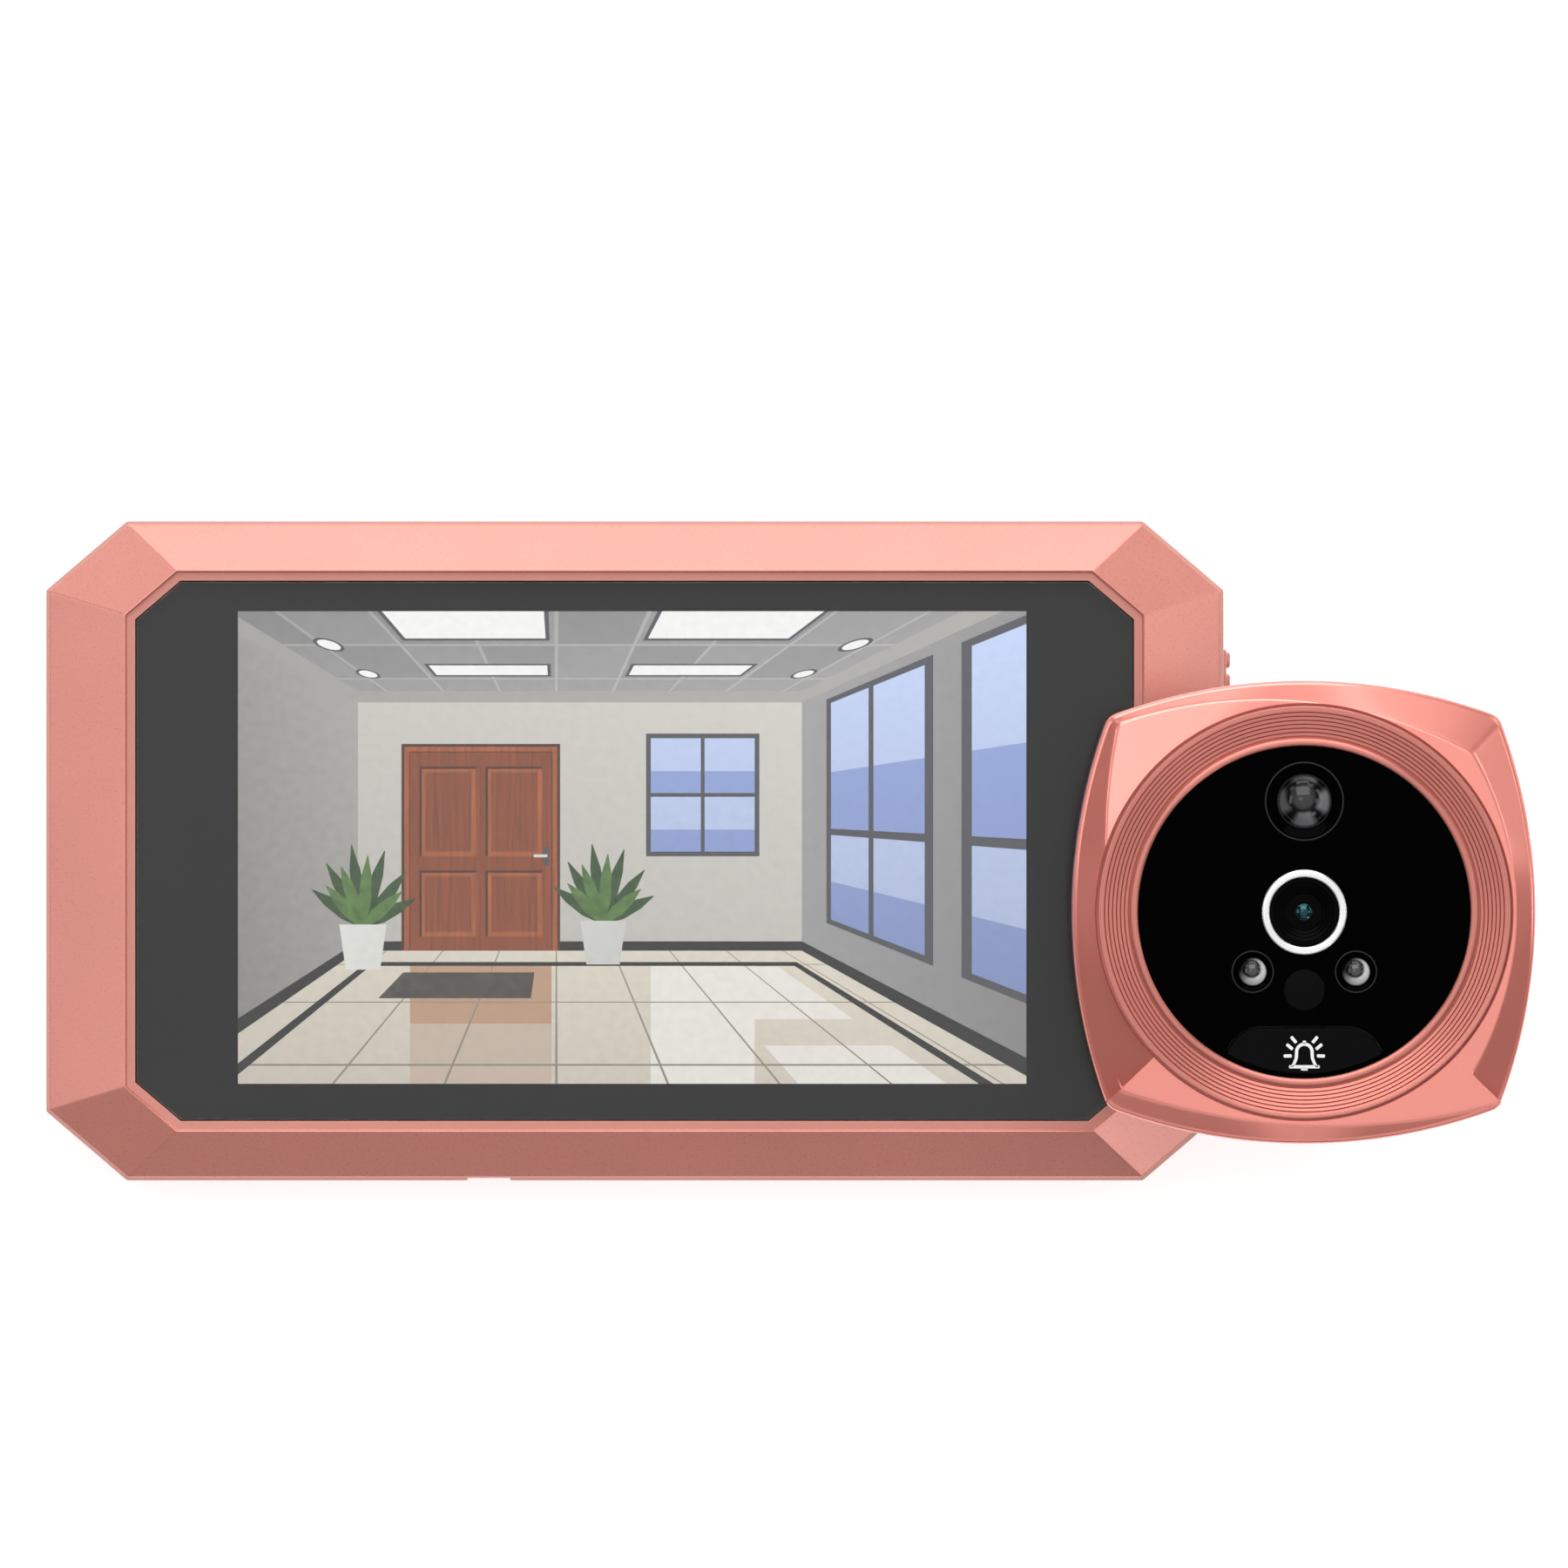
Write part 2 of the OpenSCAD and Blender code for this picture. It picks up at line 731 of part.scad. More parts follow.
module main_chips() {
    color(black)
        for (chip = chips)
            block([chip[0], chip[1], chip_h], [chip[2], chip[3], board_z + board_t]);
}

module battery_pack() {
    color([0.75, 0.76, 0.78])
        block([battery_w, battery_len, battery_t], [-bay_x, 0, floor_t]);
}

module speaker() {
    place = [bay_x, -speaker_down];
    cone_z = floor_t + speaker_frame_h;
    color([0.3, 0.3, 0.32]) {
        tube(speaker_d / 2, speaker_d / 2 - speaker_wall, place, floor_t, cone_z);
        rod(speaker_d / 2, place, cone_z, cone_z + cone_t);
        rod(magnet_r, place, cone_z + cone_t, floor_t + speaker_t);
    }
}

module side_key() {
    out_x = case_w / 2 + key_proud;
    pitch = key_len / key_ridges;
    color(paint)
    difference() {
        union() {
            translate([key_in_x, key_up - key_len / 2 - key_flange, key_z - key_h / 2 - key_flange])
                cube([key_flange_t, key_len + 2 * key_flange, key_h + 2 * key_flange]);
            translate([key_in_x, key_up - key_len / 2, key_z - key_h / 2])
                cube([out_x - key_in_x, key_len, key_h]);
        }
        for (i = [1:key_ridges - 1])
            rod(key_groove_r, [out_x, key_up - key_len / 2 + i * pitch], 0, case_d);
    }
}

module key_switch() {
    front_x = key_in_x - key_travel - switch_gap;
    color(black)
        translate([front_x - switch_size[0], key_up - switch_size[1] / 2, board_z - switch_size[2]])
            cube([switch_size[0] - nub_len, switch_size[1], switch_size[2]]);
    color(steel)
        translate([front_x - nub_len, key_up, key_z + nub_up])
            rotate([0, 90, 0])
                cylinder(h = nub_len, r = nub_r);
}

module usb_socket() {
    y = -case_h / 2 + socket_in;
    color(steel)
    difference() {
        block(usb_size, [usb_right, y + usb_size[1] / 2, board_z - usb_size[2]]);
        block(
            [usb_size[0] - 2 * shell_t, 2 * usb_mouth_depth, usb_size[2] - 2 * shell_t],
            [usb_right, y, board_z - usb_size[2] + shell_t]
        );
    }
    color(black)
        block(usb_tongue, [
            usb_right,
            y + usb_mouth_depth + eps - usb_tongue[1] / 2,
            board_z - (usb_size[2] + usb_tongue[2]) / 2
        ]);
}

module card_socket() {
    y = -case_h / 2 + socket_in;
    color(steel)
    difference() {
        block(card_size, [card_right, y + card_size[1] / 2, board_z - card_size[2]]);
        block(
            [card_slot[0], 2 * card_slot[1], card_slot[2]],
            [card_right, y, board_z - card_size[2] + shell_t]
        );
    }
}

module cable_socket() {
    low_z = recess_depth + cable_socket_sink;
    color([0.88, 0.87, 0.82])
    difference() {
        block([cable_size[0], cable_size[1], board_z - low_z], [0, cable_up, low_z]);
        block([cable_mouth[0], cable_mouth[1], 2 * cable_mouth[2]], [0, cable_up, low_z - cable_mouth[2]]);
    }
}

module case_screws() {
    color(steel)
        for (p = post_places)
            screw(shank_r, head_r, head_h, p, case_head_depth - head_h, part_z + screw_bite);
}

module board_screws() {
    color(steel)
        for (p = board_post_places)
            screw(shank_r, head_r, head_h, p, board_z + board_t, board_z - screw_bite);
}

module mounting_bracket() {
    lip_low = recess_roof + hook_gap;
    color(steel)
    difference() {
        union() {
            block([bracket_w, bracket_h, bracket_t], [0, 0, 0]);
            for (p = hook_places) {
                translate([p[0] - hook_w / 2, p[1], 0])
                    cube([hook_w, bracket_t, lip_low + bracket_t]);
                translate([p[0] - hook_w / 2, p[1], lip_low])
                    cube([hook_w, bracket_t + hook_lip, bracket_t]);
            }
        }
        rod(barrel_r + barrel_gap, [0, 0], -eps, bracket_t + eps);
        for (side = [-1, 1])
            rod(door_screw_r, [side * door_screw_side, 0], -eps, bracket_t + eps);
        for (p = hook_places)
            block([hook_w, hook_lip + bracket_t, bracket_t + 2 * eps],
                [p[0], p[1] - (hook_lip + bracket_t) / 2, -eps]);
    }
}

// Camera head, drawn about its own axis and set beside the case

module at_head() {
    translate([head_x, head_y, 0])
        children();
}

// Cushion shape of four bulging sides, drawn in by a distance
module cushion(inset, low_z, high_z) {
    reach = bulge_r - head_half;
    intersection() {
        rod(bulge_r - inset, [reach, 0], low_z, high_z);
        rod(bulge_r - inset, [-reach, 0], low_z, high_z);
        rod(bulge_r - inset, [0, reach], low_z, high_z);
        rod(bulge_r - inset, [0, -reach], low_z, high_z);
    }
}

module facet_cone(facet) {
    translate([facet[0], facet[1], back_z])
        cylinder(h = head_d, r1 = facet[2] + head_d / facet_slope, r2 = facet[2]);
}

// Quarter of the head below the diagonals, which the left and right facets leave whole
module lower_quarter() {
    wide = 2 * head_half;
    translate([0, diagonal_up, back_z])
        linear_extrude(height = head_d)
            polygon([[0, 0], [-wide, -wide], [wide, -wide]]);
}

module side_facet(facet) {
    union() {
        facet_cone(facet);
        lower_quarter();
    }
}

module outer_housing() {
    color(paint)
    at_head()
    difference() {
        union() {
            difference() {
                intersection() {
                    cushion(0, back_z, face_z);
                    facet_cone(head_facets[0]);
                    side_facet(head_facets[1]);
                    side_facet(head_facets[2]);
                    facet_cone(head_facets[3]);
                }
                cushion(head_wall, back_z - eps, front_in_z);
                rod(ring_r + ring_gap, [0, 0], ring_z, face_z + eps);
                rod(ring_r - ring_shelf_w, [0, 0], front_in_z - eps, face_z);
            }
            for (i = [-1, 1], j = [-1, 1])
                rod(corner_post_r, [i * corner_post, j * corner_post], inside_z, front_in_z + eps);
        }
        for (i = [-1, 1], j = [-1, 1])
            rod(small_shank_r + screw_gap, [i * corner_post, j * corner_post],
                inside_z - eps, front_in_z - screw_bite + screw_tip_room);
    }
}

module trim_ring() {
    bead_out = ring_in + bead_w;
    ring_flat_w = 0.35;
    bead_gap = 0.12;
    bead_low = 0.1;
    bead_out_h = 0.22;
    bead_in_h = 0.3;
    bead_in_w = 0.35;
    groove_flat = 0.62;
    groove_low = 0.8;
    band_out = ring_r - ring_flat_w;
    band_in = bead_out + bead_gap;
    rim_z = face_z + ring_proud;
    band_low = rim_z - band_drop;
    pitch = (band_out - band_in) / ring_grooves;
    slope = band_drop / (band_out - band_in);
    grooves = [for (i = [0:ring_grooves - 1])
        let (r = band_out - i * pitch, z = rim_z - i * pitch * slope)
        each [
            [r, z],
            [r - pitch * groove_flat, z - pitch * groove_flat * slope],
            [r - pitch * groove_low, z - pitch * groove_low * slope - groove_depth]
        ]];
    color(paint)
    at_head()
    difference() {
        rotate_extrude()
            polygon(concat(
                [
                    [ring_in - ring_ledge_w, ring_z],
                    [ring_r, ring_z],
                    [ring_r, rim_z]
                ],
                grooves,
                [
                    [band_in, band_low - groove_depth],
                    [bead_out, band_low - groove_depth],
                    [bead_out - bead_low, band_low + bead_out_h],
                    [ring_in + bead_in_w, band_low + bead_in_h],
                    [ring_in, band_low + bead_low],
                    [ring_in, disc_z],
                    [ring_in - ring_ledge_w, disc_z]
                ]
            ));
        bell_shape(bell_gap, bell_edge_r + bell_gap, ring_z - eps, disc_z + eps);
    }
}

// Outline of the bell button with a gap round it, as a solid between two levels
module bell_shape(gap, edge_r, low_z, high_z) {
    shoulder_x = bell_half_w - bell_shoulder_r;
    shoulder_y = -bell_down - bell_shoulder_r;
    reach = 2 * bell_edge_r;
    intersection() {
        rod(edge_r, [0, 0], low_z, high_z);
        union() {
            for (side = [-1, 1])
                rod(bell_shoulder_r + gap, [side * shoulder_x, shoulder_y], low_z, high_z);
            translate([-shoulder_x, -bell_down + gap - reach, low_z])
                cube([2 * shoulder_x, reach, high_z - low_z]);
            translate([-bell_half_w - gap, shoulder_y - reach, low_z])
                cube([2 * (bell_half_w + gap), reach, high_z - low_z]);
        }
    }
}

module face_disc() {
    color(black)
    at_head()
    difference() {
        rod(disc_r, [0, 0], disc_z, disc_top);
        rod(cam_ring_r + inset_gap, [0, 0], disc_z - eps, disc_top + eps);
        rod(pir_rim_r + inset_gap, [0, pir_up], disc_z - eps, disc_top + eps);
        for (side = [-1, 1])
            rod(led_ring_r + inset_gap, [side * led_side, -led_down], disc_z - eps, disc_top + eps);
        rod(window_r + inset_gap, [0, -window_down], disc_z - eps, disc_top + eps);
        rod(mic_hole_r, [-mic_left, 0], disc_z - eps, disc_top + eps);
        bell_shape(bell_gap, disc_r + eps, disc_z - eps, disc_top + eps);
    }
}

module pir_holder() {
    rim_w_pir = 0.3;
    cup_floor_t = 0.6;
    rim_up = 0.15;
    color(dark_grey)
    at_head()
    difference() {
        rod(pir_rim_r, [0, pir_up], disc_z, disc_top + rim_up);
        rod(pir_rim_r - rim_w_pir, [0, pir_up], disc_z + cup_floor_t, disc_top + rim_up + eps);
        rod(pir_r + inset_gap, [0, pir_up], disc_z - eps, disc_top);
    }
}

module pir_lens() {
    base_top = disc_top - pir_sink;
    color([0.2, 0.2, 0.22])
    at_head()
    difference() {
        union() {
            rod(pir_r, [0, pir_up], disc_z, base_top);
            dome(pir_r - pir_shoulder, pir_dome_h, [0, pir_up, base_top]);
        }
        rod(pir_r - pir_skin, [0, pir_up], disc_z - eps, base_top);
    }
}

module pir_sensor() {
    can_r = 2.3;
    brim_r = 2.7;
    brim_h = 0.4;
    color(steel)
    at_head() {
        rod(brim_r, [0, pir_up], head_board_top, head_board_top + brim_h);
        rod(can_r, [0, pir_up], head_board_top + brim_h, disc_z - can_gap);
    }
}

module camera_ring() {
    edge = 0.2;
    top = disc_top + cam_ring_proud;
    color([0.85, 0.85, 0.86])
    at_head()
    rotate_extrude()
        polygon([
            [cam_ring_in, disc_z],
            [cam_ring_r, disc_z],
            [cam_ring_r, top - edge],
            [cam_ring_r - edge, top],
            [cam_ring_in + edge, top],
            [cam_ring_in, top - edge]
        ]);
}

module lens_barrel() {
    top = disc_top - lens_sink;
    seat = top - lens_funnel_h;
    lens_bore_r = lens_r + lens_fit;
    outer_r = cam_ring_in - inset_gap;
    color(black)
    at_head()
    rotate_extrude()
        polygon([
            [0, head_board_top + holder_h],
            [outer_r, head_board_top + holder_h],
            [outer_r, top],
            [lens_funnel_r, top],
            [lens_bore_r, seat],
            [lens_bore_r, seat - lens_edge_h],
            [0, seat - lens_edge_h]
        ]);
}

module lens_glass() {
    seat = disc_top - lens_sink - lens_funnel_h;
    color([0.12, 0.2, 0.3])
    at_head() {
        rod(lens_r, [0, 0], seat - lens_edge_h, seat);
        dome(lens_r, lens_dome_h, [0, 0, seat]);
    }
}

module sensor_holder() {
    color(black)
    at_head()
        block([holder_w, holder_w, holder_h], [0, 0, head_board_top]);
}

module ir_leds() {
    dome_h = 1.1;
    color([0.55, 0.56, 0.6])
    at_head()
        for (side = [-1, 1]) {
            rod(led_r, [side * led_side, -led_down], head_board_top, disc_top - led_sink);
            dome(led_r, dome_h, [side * led_side, -led_down, disc_top - led_sink]);
        }
}

module led_rings() {
    rise = 0.12;
    color(dark_grey)
    at_head()
        for (side = [-1, 1])
            tube(led_ring_r, led_r + inset_gap, [side * led_side, -led_down], disc_z, disc_top + rise);
}

module light_window() {
    color([0.09, 0.09, 0.1])
    at_head()
        rod(window_r, [0, -window_down], disc_z, disc_top);
}

module light_sensor() {
    color([0.8, 0.8, 0.75])
    at_head()
        block(light_sensor_size, [0, -window_down, head_board_top]);
}

module bell_button() {
    tab_z = disc_z - bell_tab_gap - bell_tab[2];
    stem_low = bell_bottom - bell_stem_len;
    color([0.07, 0.07, 0.075])
    at_head() {
        bell_shape(0, bell_edge_r, bell_bottom, disc_top);
        rod(bell_plunger_r, [0, bell_switch_y], stem_low, bell_bottom + eps);
        translate([-bell_tab[0] / 2, -bell_down - bell_tab[1], tab_z])
            cube([bell_tab[0], 2 * bell_tab[1], bell_tab[2]]);
        translate([-bell_tab[0] / 2, -bell_down - bell_tab[1], tab_z])
            cube([bell_tab[0], bell_tab[1], bell_bottom - tab_z + eps]);
    }
}

module bell_switch() {
    at_head() {
        color(black)
            block([bell_switch_w, bell_switch_w, bell_switch_h], [0, bell_switch_y, head_board_top]);
        color(steel)
            rod(bell_plunger_r, [0, bell_switch_y], head_board_top + bell_switch_h, bell_plunger_z);
    }
}

module head_mic() {
    color(steel)
    at_head()
        rod(mic_can_r, [-mic_left + mic_can_r - mic_hole_r, 0], head_board_top, disc_z - mic_gap);
}

module head_board() {
    post_clear = 0.4;
    color(board_green)
    at_head()
    difference() {
        block([head_board_w, head_board_w, board_t], [0, 0, head_board_z]);
        for (i = [-1, 1], j = [-1, 1])
            rod(corner_post_r + post_clear, [i * corner_post, j * corner_post],
                head_board_z - eps, head_board_top + eps);
        for (side = [-1, 1])
            rod(small_shank_r + screw_gap, [side * plate_post[0], plate_post[1]],
                head_board_z - eps, head_board_top + eps);
    }
}

module head_socket() {
    color([0.88, 0.87, 0.82])
    at_head()
        block(head_socket_size, [0, -head_socket_down, head_board_z - head_socket_size[2]]);
}

module head_board_screws() {
    color(steel)
    at_head()
        for (side = [-1, 1])
            screw(small_shank_r, small_head_r, head_h, [side * plate_post[0], plate_post[1]],
                head_board_top, inside_z + plate_post_floor);
}

module back_plate() {
    color(black)
    at_head()
    difference() {
        union() {
            cushion(head_wall + plate_gap, back_z, inside_z);
            for (side = [-1, 1])
                rod(plate_post_r, [side * plate_post[0], plate_post[1]], back_z + eps, head_board_z);
        }
        rod(barrel_r + plate_gap, [0, 0], back_z - eps, inside_z + eps);
        for (side = [-1, 1])
            rod(small_shank_r + screw_gap, [side * plate_post[0], plate_post[1]],
                inside_z + plate_post_floor - screw_gap, head_board_z + eps);
        for (i = [-1, 1], j = [-1, 1]) {
            rod(small_shank_r + screw_gap, [i * corner_post, j * corner_post], back_z - eps, inside_z + eps);
            rod(small_head_r + screw_gap, [i * corner_post, j * corner_post], back_z - eps, back_z + head_h);
        }
    }
}

module back_screws() {
    color(steel)
    at_head()
        for (i = [-1, 1], j = [-1, 1])
            screw(small_shank_r, small_head_r, head_h, [i * corner_post, j * corner_post],
                back_z, front_in_z - screw_bite);
}

module foam_pad() {
    color([0.12, 0.12, 0.12])
    at_head()
        tube(pad_r, barrel_r + pad_hole_gap, [0, 0], pad_z, back_z);
}

module threaded_barrel() {
    color(steel)
    at_head()
    rotate_extrude()
        polygon([
            [bore_r, 0],
            [pilot_r, 0],
            [pilot_r, pilot_len],
            [barrel_r, pilot_len],
            [barrel_r, inside_z],
            [flange_r, inside_z],
            [flange_r, inside_z + flange_t],
            [bore_r, inside_z + flange_t]
        ]);
}

module clamp_washer() {
    color(steel)
    at_head()
        tube(washer_r, washer_hole_r, [0, 0], washer_z, washer_z + washer_t);
}

module clamp_nut() {
    color(steel)
    at_head()
    difference() {
        translate([0, 0, nut_z])
            cylinder(h = nut_h, r = nut_r, $fn = 6);
        rod(barrel_r + nut_gap, [0, 0], nut_z - eps, nut_z + nut_h + eps);
    }
}

front_frame();
rear_cover();
cover_glass();
screen_mask();
lcd_panel();
lcd_tray();
main_board();
main_chips();
battery_pack();
speaker();
side_key();
key_switch();
usb_socket();
card_socket();
cable_socket();
case_screws();
board_screws();
mounting_bracket();
outer_housing();
trim_ring();
face_disc();
pir_holder();
pir_lens();
pir_sensor();
camera_ring();
lens_barrel();
lens_glass();
sensor_holder();
ir_leds();
led_rings();
light_window();
light_sensor();
bell_button();
bell_switch();
head_mic();
head_board();
head_socket();
head_board_screws();
back_plate();
back_screws();
foam_pad();
threaded_barrel();
clamp_washer();
clamp_nut();
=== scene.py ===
# %% [markdown]
# # A peephole door camera
# The set has an indoor screen unit, which lies on its back here, and an outdoor camera head that
# stands on its hollow barrel beside it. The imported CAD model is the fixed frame: every new piece
# takes its place and its size from it, rides on one of its bodies, and stays inside its box.

# %% Load the frame
import math

import bmesh
import bpy
from mathutils import Matrix, Vector


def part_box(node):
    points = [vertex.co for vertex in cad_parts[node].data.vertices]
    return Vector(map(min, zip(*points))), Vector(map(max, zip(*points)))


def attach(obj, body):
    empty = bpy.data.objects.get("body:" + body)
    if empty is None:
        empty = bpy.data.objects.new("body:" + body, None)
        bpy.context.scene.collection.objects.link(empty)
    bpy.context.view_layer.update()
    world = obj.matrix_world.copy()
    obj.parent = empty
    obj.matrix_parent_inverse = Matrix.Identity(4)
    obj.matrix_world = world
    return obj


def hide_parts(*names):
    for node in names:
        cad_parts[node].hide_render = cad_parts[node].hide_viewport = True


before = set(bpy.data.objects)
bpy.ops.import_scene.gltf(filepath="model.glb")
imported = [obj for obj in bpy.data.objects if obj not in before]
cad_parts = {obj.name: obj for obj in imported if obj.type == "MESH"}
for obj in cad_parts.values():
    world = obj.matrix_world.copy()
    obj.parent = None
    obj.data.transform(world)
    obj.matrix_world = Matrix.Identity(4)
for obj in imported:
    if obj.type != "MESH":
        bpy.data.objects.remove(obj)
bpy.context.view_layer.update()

# %% [markdown]
# ## Units and small helpers
# The CAD source counts in millimetres and Blender in metres. Modelling in millimetres keeps the
# numbers readable, so each mesh is built in millimetres and scaled once, at the end, when it becomes
# an object. The object itself stays at the origin, unturned and unscaled.

# %% Turn a bmesh into a finished piece
MM = 0.001
MERGE_DISTANCE = 0.0005
SHARP_ANGLE = math.radians(34)


def box_mm(node):
    low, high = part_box(node)
    return low / MM, high / MM


def middle_of(low, high):
    return (low.x + high.x) / 2, (low.y + high.y) / 2


def finish_piece(bm, name, materials, body, slot, *stands_for):
    bmesh.ops.remove_doubles(bm, verts=bm.verts, dist=MERGE_DISTANCE)
    bmesh.ops.recalc_face_normals(bm, faces=bm.faces)
    bmesh.ops.scale(bm, vec=(MM, MM, MM), verts=bm.verts)
    mesh = bpy.data.meshes.new(name)
    bm.to_mesh(mesh)
    bm.free()
    mesh.shade_smooth()
    mesh.set_sharp_from_angle(angle=SHARP_ANGLE)
    for material in materials:
        mesh.materials.append(material)
    piece = bpy.data.objects.new(name, mesh)
    bpy.context.scene.collection.objects.link(piece)
    weighted = piece.modifiers.new("even_shading", "WEIGHTED_NORMAL")
    weighted.keep_sharp = True
    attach(piece, body)
    if stands_for:
        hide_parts(*stands_for)
    print(name, "has", len(mesh.polygons), "faces and rides on", body)


# %% [markdown]
# Turned pieces, such as rings, lenses and the barrel, come from a half section that is spun round
# an axis. A real edge is never a knife edge, so the corners of a section are first replaced by small
# curves. Where a piece has two finishes, the middle of each face tells which one it gets.

# %% Round a section and spin it
CURVE_STEPS = 3
CURVE_SHARE = 0.45


def soften(section, radius, closed=True):
    points = [Vector(p) for p in section]
    count = len(points)
    softened = []
    for i, corner in enumerate(points):
        if not closed and i in (0, count - 1):
            softened.append(corner)
            continue
        before = points[i - 1] - corner
        after = points[(i + 1) % count] - corner
        reach = min(radius, before.length * CURVE_SHARE, after.length * CURVE_SHARE)
        start = corner + before.normalized() * reach
        end = corner + after.normalized() * reach
        for step in range(CURVE_STEPS + 1):
            t = step / CURVE_STEPS
            softened.append(start * (1 - t) ** 2 + corner * 2 * t * (1 - t) + end * t * t)
    return softened


def square_section(inner, outer, low_z, high_z):
    return [(inner, low_z), (outer, low_z), (outer, high_z), (inner, high_z)]


def spun(section, axes, steps=128, closed=True):
    bm = bmesh.new()
    for x, y in axes:
        verts = [bm.verts.new((x + p[0], y, p[1])) for p in section]
        edges = [bm.edges.new(pair) for pair in zip(verts, verts[1:])]
        if closed:
            edges.append(bm.edges.new((verts[-1], verts[0])))
        bmesh.ops.spin(
            bm,
            geom=verts + edges,
            cent=(x, y, 0),
            axis=(0, 0, 1),
            dvec=(0, 0, 0),
            angle=math.tau,
            steps=steps,
            use_merge=True,
            use_normal_flip=False,
            use_duplicate=False,
        )
    return bm


def off_axis(point, axis):
    return math.hypot(point.x - axis[0], point.y - axis[1])


def second_finish(bm, chosen):
    for face in bm.faces:
        face.material_index = int(chosen(face.calc_center_median()))


print("helpers ready")

# %% [markdown]
# ## Finishes
# A finish is a small net of shader nodes. A few helpers add a node, feed its inputs in order and give
# back the output that the next node needs. An effect that several materials share becomes a node
# group with named sockets, which is built once and placed in each material with its own values.

# %% Node helpers


def add_node(tree, kind, *sources, **settings):
    """Add a node and feed its inputs in order: sockets are linked, plain values are set."""
    node = tree.nodes.new("ShaderNode" + kind)
    for name, value in settings.items():
        setattr(node, name, value)
    for socket, source in zip(node.inputs, sources):
        if isinstance(source, bpy.types.NodeSocket):
            tree.links.new(source, socket)
        elif source is not None:
            socket.default_value = source
    return node


def calc(tree, operation, *sources):
    return add_node(tree, "Math", *sources, operation=operation).outputs["Value"]


def vector_calc(tree, operation, *sources):
    node = add_node(tree, "VectorMath", *sources, operation=operation)
    return node.outputs["Value" if operation in ("LENGTH", "DISTANCE") else "Vector"]


def value_range(tree, source, low, high, from_low=0.0, from_high=1.0):
    return add_node(tree, "MapRange", source, from_low, from_high, low, high).outputs["Result"]


def tinted(tree, colour, factor):
    return vector_calc(tree, "SCALE", colour, None, None, factor)


def noise(tree, vector, scale, detail=2.0, roughness=0.5):
    return add_node(tree, "TexNoise", vector, None, scale, detail, roughness).outputs["Fac"]


def object_place(tree):
    return add_node(tree, "TexCoord").outputs["Object"]


def set_inputs(node, values):
    for socket, value in values.items():
        node.inputs[socket].default_value = value


def new_group(name, inputs, outputs):
    tree = bpy.data.node_groups.new(name, "ShaderNodeTree")
    for socket_name, start in inputs.items():
        kind = "Float" if isinstance(start, float) else {3: "Vector", 4: "Color"}[len(start)]
        socket = tree.interface.new_socket(socket_name, in_out="INPUT", socket_type="NodeSocket" + kind)
        socket.default_value = start
    for socket_name in outputs:
        kind = "Color" if socket_name == "Colour" else "Float"
        tree.interface.new_socket(socket_name, in_out="OUTPUT", socket_type="NodeSocket" + kind)
    print("group", name)
    return tree, tree.nodes.new("NodeGroupInput").outputs, tree.nodes.new("NodeGroupOutput").inputs


print("node helpers ready")

# %% [markdown]
# The set is sprayed in a rose paint with fine flakes. At arm's length the flakes show as a slight
# sparkle, so the paint needs a colour, a gloss and a height that change over about a tenth of a
# millimetre. One pattern steers all three, and very slow clouds shift the colour a little.

# %% The flake group
SURFACE_INPUTS = {"Colour": (0.5, 0.5, 0.5, 1), "Gloss low": 0.3, "Gloss high": 0.5, "Contrast": 0.1}
SURFACE_OUTPUTS = ("Colour", "Roughness", "Height")
FLAKE_SCALE = 5200
CLOUD_SCALE = 70
FLAKE_SPAN = (0.3, 0.7)


def put_out_surface(tree, entry, leave, pattern, span, drift=None):
    """Let one pattern steer the colour, the gloss and the height of a surface."""
    swing = value_range(tree, pattern, -1.0, 1.0, *span)
    level = calc(tree, "MULTIPLY_ADD", swing, entry["Contrast"], 1.0)
    if drift is not None:
        level = calc(tree, "MULTIPLY", level, drift)
    tree.links.new(tinted(tree, entry["Colour"], level), leave["Colour"])
    gloss = value_range(tree, pattern, entry["Gloss low"], entry["Gloss high"], *span)
    tree.links.new(gloss, leave["Roughness"])
    tree.links.new(pattern, leave["Height"])


def build_flake_group():
    tree, entry, leave = new_group("paint_flakes", SURFACE_INPUTS, SURFACE_OUTPUTS)
    place = object_place(tree)
    flakes = noise(tree, place, FLAKE_SCALE, detail=3.0, roughness=0.7)
    drift = value_range(tree, noise(tree, place, CLOUD_SCALE), 0.97, 1.03, *FLAKE_SPAN)
    put_out_surface(tree, entry, leave, flakes, FLAKE_SPAN, drift)
    return tree


paint_flakes = build_flake_group()

# %% [markdown]
# Moulded plastic, foil, boards and steel each have a fine grain of their own. A second group gives
# a grain that can be stretched along one direction, which turns a moulded grain into a brushed one.

# %% The grain group
EVEN = (2500, 2500, 2500)
GRAIN_SPAN = (0.25, 0.75)


def build_grain_group():
    inputs = SURFACE_INPUTS | {"Stretch": EVEN}
    tree, entry, leave = new_group("surface_grain", inputs, SURFACE_OUTPUTS)
    stretched = vector_calc(tree, "MULTIPLY", object_place(tree), entry["Stretch"])
    put_out_surface(tree, entry, leave, noise(tree, stretched, 1.0, detail=3.0), GRAIN_SPAN)
    return tree


surface_grain = build_grain_group()

# %% [markdown]
# The trim ring, the bright camera ring, the washer and the nut are turned on a lathe, which leaves
# fine circles round the axis. The third group measures the distance from an axis and makes a pattern
# of it. A Mapping node in each material moves the axis to the piece.

# %% The turned group
FLAT = (1, 1, 0)


